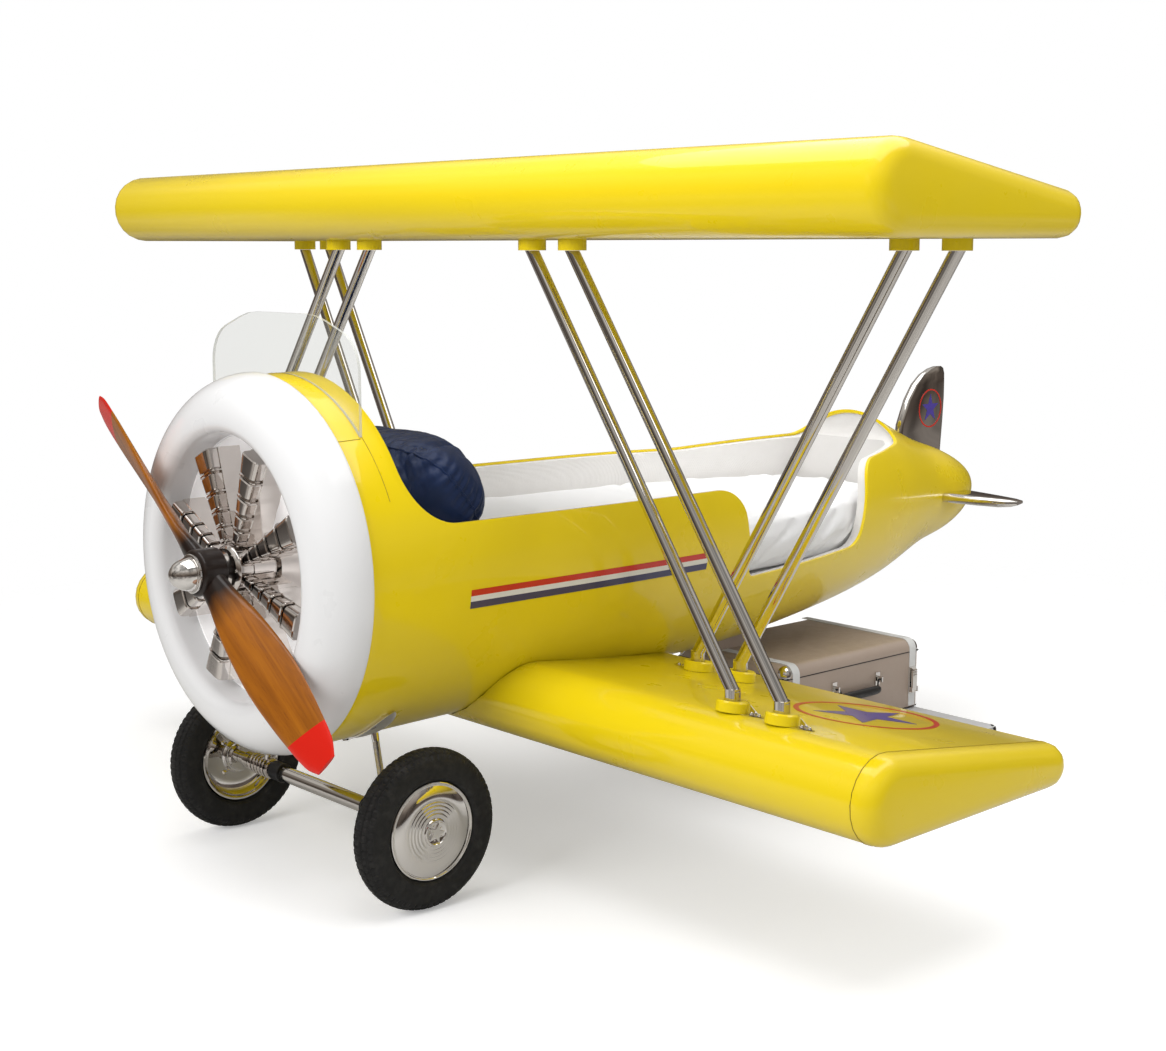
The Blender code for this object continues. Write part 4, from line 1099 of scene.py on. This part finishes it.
def build_handle():
    """Padded grip with drawn-in ends on the steel loop of the case handle."""
    centre = middle("case_handle")
    centre.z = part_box("case_handle")[0].z + 0.010
    half = extent("case_handle").y / 2 - 0.012
    rings = []
    for i in range(41):
        t = i / 20 - 1
        swell = max((1 - abs(t) ** 6) ** 0.5, 0.05)
        wide, deep = 0.0052 + 0.0048 * swell, 0.0075 + 0.0065 * swell
        rings.append([centre + Vector((wide * a, half * t, deep * b)) for a, b in circle(24)])
    dress(loft("handle_grip", rings, angle=50.0), "grip", "black_parts", body="case_handle")


# ---- soft goods
def remesh(obj, voxel):
    add_modifier(obj, "REMESH", mode="VOXEL", voxel_size=voxel)
    bpy.context.view_layer.update()
    apply_modifiers(obj)


def coordinates(mesh):
    flat = np.empty(len(mesh.vertices) * 3)
    mesh.vertices.foreach_get("co", flat)
    return flat.reshape(-1, 3)


def puff(obj, pressure, cap, frames, pinned):
    """Swells the shape as cloth; no point moves more than the cap."""
    start = coordinates(obj.data)
    group = obj.vertex_groups.new(name="held")
    for i, point in enumerate(start):
        if pinned(point):
            group.add([i], 1.0, "REPLACE")
    mod = add_modifier(obj, "CLOTH")
    settings = {"quality": 5, "mass": 0.25, "use_pressure": True,
                "uniform_pressure_force": pressure, "shrink_min": -0.05,
                "tension_stiffness": 12, "compression_stiffness": 12, "shear_stiffness": 4,
                "bending_stiffness": 0.35, "air_damping": 3, "vertex_group_mass": "held"}
    for key, value in settings.items():
        setattr(mod.settings, key, value)
    mod.settings.effector_weights.gravity = 0
    mod.collision_settings.use_collision = False
    mod.collision_settings.use_self_collision = False
    mod.point_cache.frame_start = 1
    mod.point_cache.frame_end = frames
    for step in range(1, frames + 1):
        bpy.context.scene.frame_set(step)
    graph = bpy.context.evaluated_depsgraph_get()
    settled = bpy.data.meshes.new_from_object(obj.evaluated_get(graph))
    travel = coordinates(settled) - start
    far = np.linalg.norm(travel, axis=1, keepdims=True)
    travel *= np.minimum(1.0, cap / np.maximum(far, 1e-9))
    obj.modifiers.clear()
    obj.vertex_groups.clear()
    obj.data.vertices.foreach_set("co", (start + travel).ravel())
    obj.data.update()
    bpy.data.meshes.remove(settled)
    bpy.context.scene.frame_set(1)


def subdivide(obj):
    add_modifier(obj, "SUBSURF", levels=1)
    bpy.context.view_layer.update()
    apply_modifiers(obj)
    for face in obj.data.polygons:
        face.use_smooth = True


def inside_hull(co, last, top=9.0):
    """Draws a point lower than top above the hull's centre in to the padded wall."""
    radius, centre = hull_at(min(max(co.y - DATUM_Y, 0.0), last))
    room = radius - SHELL_WALL - LINER_WALL - 0.002
    out = Vector((co.x, co.z - centre))
    if co.z < centre + top and out.length > room:
        out *= room / out.length
        co.x, co.z = out.x, centre + out.y


QUILT_HALF = Vector((0.392, 0.136, 0.165))
QUILT_MIDDLE = Vector((0.0, DATUM_Y + 0.343, 0.990))
QUILT_TURN = Matrix.Translation(QUILT_MIDDLE) @ Matrix.Rotation(radians(38.0), 4, "X")
QUILT_BACK = QUILT_TURN.inverted()
QUILT_SHRINK = 0.018      # the cover starts this much inside its swollen size


def quilt_point(x, y, z):
    """A boxy pillow in its own leaning axes; the middle plane y = 0 carries the seam."""
    x, z = (abs(v) ** 0.62 * (1 if v > 0 else -1) for v in (x, z))
    half = QUILT_HALF - Vector((QUILT_SHRINK,) * 3)
    return QUILT_TURN @ Vector((half.x * x, half.y * y, half.z * z))


def rest_on_bed(obj):
    """Flattens what would sink into the mattress or the padded walls."""
    for vert in obj.data.vertices:
        inside_hull(vert.co, 2.2, 0.16)
        vert.co.z = max(vert.co.z, MATTRESS_HIGH.z + 0.0015)
    obj.data.update()


def seam_hold(point):
    local = QUILT_BACK @ Vector(point)
    return abs(local.y) < 0.0045 and abs(local.x) + abs(local.z) * 2 > 0.30


def gather(point, _):
    """Shallow creases that run in from the seam before the filling swells the cover."""
    local = QUILT_BACK @ point
    around = atan2(local.z * 2.2, local.x)
    near = exp(-(abs(local.y) / 0.045) ** 1.5)
    wave = sin(around * 17 + 2.0 * noise.noise(local * 6.0)) * 0.6 + noise.noise(local * 16.0)
    fold = noise.noise(Vector((local.x * 4.5, local.y * 3.0, local.z * 14.0))
                       + Vector((3, 1, 2)))
    face = QUILT_TURN.to_3x3() @ Vector((0, 1 if local.y > 0 else -1, 0))
    return face * (0.0042 * wave * near * min(abs(local.y) / 0.012, 1.0)
                   + 0.0035 * fold * (1 - near))


def crease(point, normal):
    """Short gathers off the seam, and one fold across the near end."""
    local = QUILT_BACK @ point
    around = atan2(local.z * 2.2, local.x)
    pull = sin(around * 52 + 6.0 * noise.noise(local * 9.0)) * (0.7 + noise.noise(local * 13.0))
    gathers = 0.0032 * pull * exp(-(local.y / 0.036) ** 2)
    fold = local.z + 0.066 - 0.30 * local.y + 0.02 * noise.noise(local * 5.0)
    near_end = min(max((local.x - 0.12) / 0.10, 0.0), 1.0)
    ridge = 0.0045 * exp(-((fold - 0.013) / 0.010) ** 2) - 0.0060 * exp(-(fold / 0.007) ** 2)
    slow = 0.0030 * noise.noise(local * 11.0)
    return normal * (gathers + near_end * ridge + slow)


def build_quilt():
    bm = bmesh.new()
    bmesh.ops.create_uvsphere(bm, u_segments=96, v_segments=64, radius=1.0)
    for vert in bm.verts:
        vert.co = quilt_point(*vert.co)
    quilt = from_bmesh("quilt_cover", bm)
    push(quilt, gather)
    remesh(quilt, 0.0075)
    puff(quilt, 4.5, 0.026, 16, seam_hold)
    rest_on_bed(quilt)
    subdivide(quilt)
    push(quilt, crease)
    rest_on_bed(quilt)
    dress(quilt, "navy", "navy_quilt", "quilt")
    loop = []
    tree = surface_tree(quilt.data)
    for a, b in circle(160, 1.4):
        aim = QUILT_TURN @ Vector((QUILT_HALF.x * a, 0.0, QUILT_HALF.z * b))
        hit, _, _, _ = tree.ray_cast(aim, (QUILT_MIDDLE - aim).normalized(), 1.0)
        if hit:
            loop.append(hit)
    seam = sweep("quilt_piping", loop, 0.0032, 8, closed=True)
    for vert in seam.data.vertices:
        vert.co.z = max(vert.co.z, MATTRESS_HIGH.z + 0.001)
    dress(seam, "navy", "navy_quilt")


def drawn_sheet(point, normal):
    """Folds drawn along the sheet; its underside stays flat."""
    if normal.z < -0.5:
        return Vector()
    pull = noise.noise(Vector((point.x * 3.2, point.y * 1.5, 0.3)))
    fold = noise.noise(Vector((point.x * 9.0 + pull * 2, point.y * 3.0, 1.7)))
    return normal * (0.0050 * pull + 0.0060 * (1 - min(abs(fold) * 5.0, 1.0)) ** 2)


def build_mattress():
    """Sheeted mattress: soft top with drawn folds and tucked edges."""
    inset = -SHELL_WALL - LINER_WALL - 0.013
    stations = spaced(MATTRESS_LOW.y - DATUM_Y + 0.006, MATTRESS_HIGH.y - DATUM_Y - 0.006, 0.03)
    bed = loft("bed_sheet", [hull_ring(aft, inset, MATTRESS_LOW.z + 0.001,
                                       MATTRESS_HIGH.z - 0.013) for aft in stations])
    remesh(bed, 0.014)
    puff(bed, 2.5, 0.010, 12, lambda point: point[2] < MATTRESS_LOW.z + 0.03)
    subdivide(bed)
    push(bed, drawn_sheet)
    for vert in bed.data.vertices:
        inside_hull(vert.co, 2.3)
        vert.co.z = min(max(vert.co.z, MATTRESS_LOW.z), MATTRESS_HIGH.z)
        vert.co.y = min(max(vert.co.y, MATTRESS_LOW.y + 0.001), MATTRESS_HIGH.y - 0.001)
    bed.data.update()
    dress(bed, "sheet", "mattress_cover", "mattress")


# ---- stage, light and camera
def build_floor():
    """Studio floor: washed out only for the camera, greyer for the pieces that mirror it."""
    bm = bmesh.new()
    bmesh.ops.create_grid(bm, x_segments=1, y_segments=1, size=14.0)
    floor = from_bmesh("floor", bm)
    floor.location.z = -0.0006
    f = Finish("pale_floor", (0.93, 0.93, 0.935), 0.55)
    f.uneven(3.0, 5.0, 0.3, 0.7, 0.5, 0.6)
    seen = f.ray("Camera")
    f.set(base_color=f.mix(seen, (0.62, 0.61, 0.59), (0.93, 0.93, 0.935)),
          emission_color=(1.0, 1.0, 1.0), emission_strength=f.math("MULTIPLY", seen, 0.30))
    # Past a few metres the floor fades into the backdrop.
    away = f.node("VectorMath", {0: f.place}, "Value", operation="LENGTH")
    f.surface("Material Output", f.mix_shaders(f.band(away, 1.7, 4.2), f.bsdf.outputs[0],
                                               f.node("BsdfTransparent")))
    floor.data.materials.append(f.material)


def build_world():
    """White backdrop; reflections see a room with bright ceiling panels over taupe walls."""
    world = bpy.data.worlds.new("studio")
    bpy.context.scene.world = world
    f = Shader(world)
    direction = f.node("TexCoord", out="Generated")
    height = f.band(f.node("SeparateXYZ", {0: direction}, "Z"), -1.0, 1.0)
    walls = f.ramp(height, [
        (0.0, (0.50, 0.48, 0.45)), (0.38, (0.50, 0.47, 0.44)), (0.48, (0.12, 0.095, 0.08)),
        (0.58, (0.19, 0.16, 0.135)), (0.68, (0.32, 0.29, 0.26)), (0.80, (0.62, 0.60, 0.57)),
        (1.0, (0.80, 0.79, 0.77))])
    patches = f.band(f.noise(2.2, 3.0, direction), 0.38, 0.62, 0.35, 1.25)
    room, fill, white = (f.node("Background", {"Color": colour, "Strength": strength})
                         for colour, strength in ((walls, patches), ((1.0, 0.99, 0.97), 0.54),
                                                  ((1.0, 1.0, 1.0), 1.0)))
    straight = f.math("MAXIMUM", f.ray("Camera"), f.ray("Transmission"))
    f.surface("World Output", f.mix_shaders(straight, f.mix_shaders(f.ray("Glossy"), fill, room),
                                            white))
    bpy.context.scene.view_settings.view_transform = "Standard"


def place_object(name, data, place, aim):
    """Stands a light or the camera at a place, looking along aim."""
    obj = bpy.data.objects.new(name, data)
    bpy.context.scene.collection.objects.link(obj)
    obj.location = place
    obj.rotation_mode = "QUATERNION"
    obj.rotation_quaternion = Vector(aim).to_track_quat("-Z", "Y")
    return obj


def build_lights():
    """A ceiling panel, and two softboxes that the gloss surfaces don't mirror."""
    for name, place, aim, size, power in (
            ("ceiling", (0.6, 0.0, 4.6), (0.2, 0.0, 0.5), (5.0, 5.0), 165),
            ("key", (0.7, -5.4, 2.9), (0.0, -0.9, 0.9), (2.6, 2.0), 130),
            ("side", (5.4, 1.6, 2.6), (0.3, 0.2, 0.8), (2.2, 2.0), 26)):
        light = bpy.data.lights.new(name, "AREA")
        light.shape = "RECTANGLE"
        light.size, light.size_y = size
        light.energy = power
        softbox = place_object(name, light, place, Vector(aim) - Vector(place))
        softbox.visible_glossy = name == "ceiling"


def build_camera():
    """Three-quarter view of the nose and the entry side, on a 36 mm wide sensor."""
    azimuth, pitch = radians(48.26), radians(8.724)
    camera = bpy.data.cameras.new("camera")
    camera.sensor_width = 36.0
    camera.lens = 56.1
    gaze = (-sin(azimuth) * cos(pitch), cos(azimuth) * cos(pitch), -sin(pitch))
    bpy.context.scene.camera = place_object("camera", camera, (3.849, at(-2.370), 1.592), gaze)


# ---- build
build_fuselage()
build_liner()
build_cowl()
for barrel_index in range(BARRELS):
    build_barrel(barrel_index)
build_crankcase()
build_propeller()
for which_side, side_word in SIDES:
    build_tyre(which_side, side_word)
    build_wheel(which_side, side_word)
build_axle_fittings()
for which_side, side_word in SIDES:
    build_gear_leaf(which_side, side_word)
    build_gear_rod(side_word)
build_handle()
build_stripes()
build_roundels()
build_hood_seams()
build_cap_seams()
build_gussets()
build_straps()
build_case_trim()
build_latch_dials()
STRUTS = [word + "_" + label for _, word in SIDES for label in STRUT_SPOTS]
polish("acrylic", ["windshield"], 35.0)
polish("yellow", ["upper_wing", "lower_wing", "lower_wing_cap_near", "lower_wing_cap_far"]
       + ["mount_disc_" + strut for strut in STRUTS])
polish("plate", ["strut_" + strut for strut in STRUTS]
       + ["tail_fin", "stabilizer_near", "stabilizer_far", "axle"])
build_quilt()
build_mattress()
polish("leather", ["case_body", "case_lid"])
polish("grey", ["step_case"])
polish("chrome", ["handle_bracket_front", "handle_bracket_rear", "latch_base_front",
                  "latch_base_rear", "latch_front", "latch_rear"], edge=0.0004)
polish("black", ["case_handle"])
build_floor()
build_world()
build_lights()
build_camera()
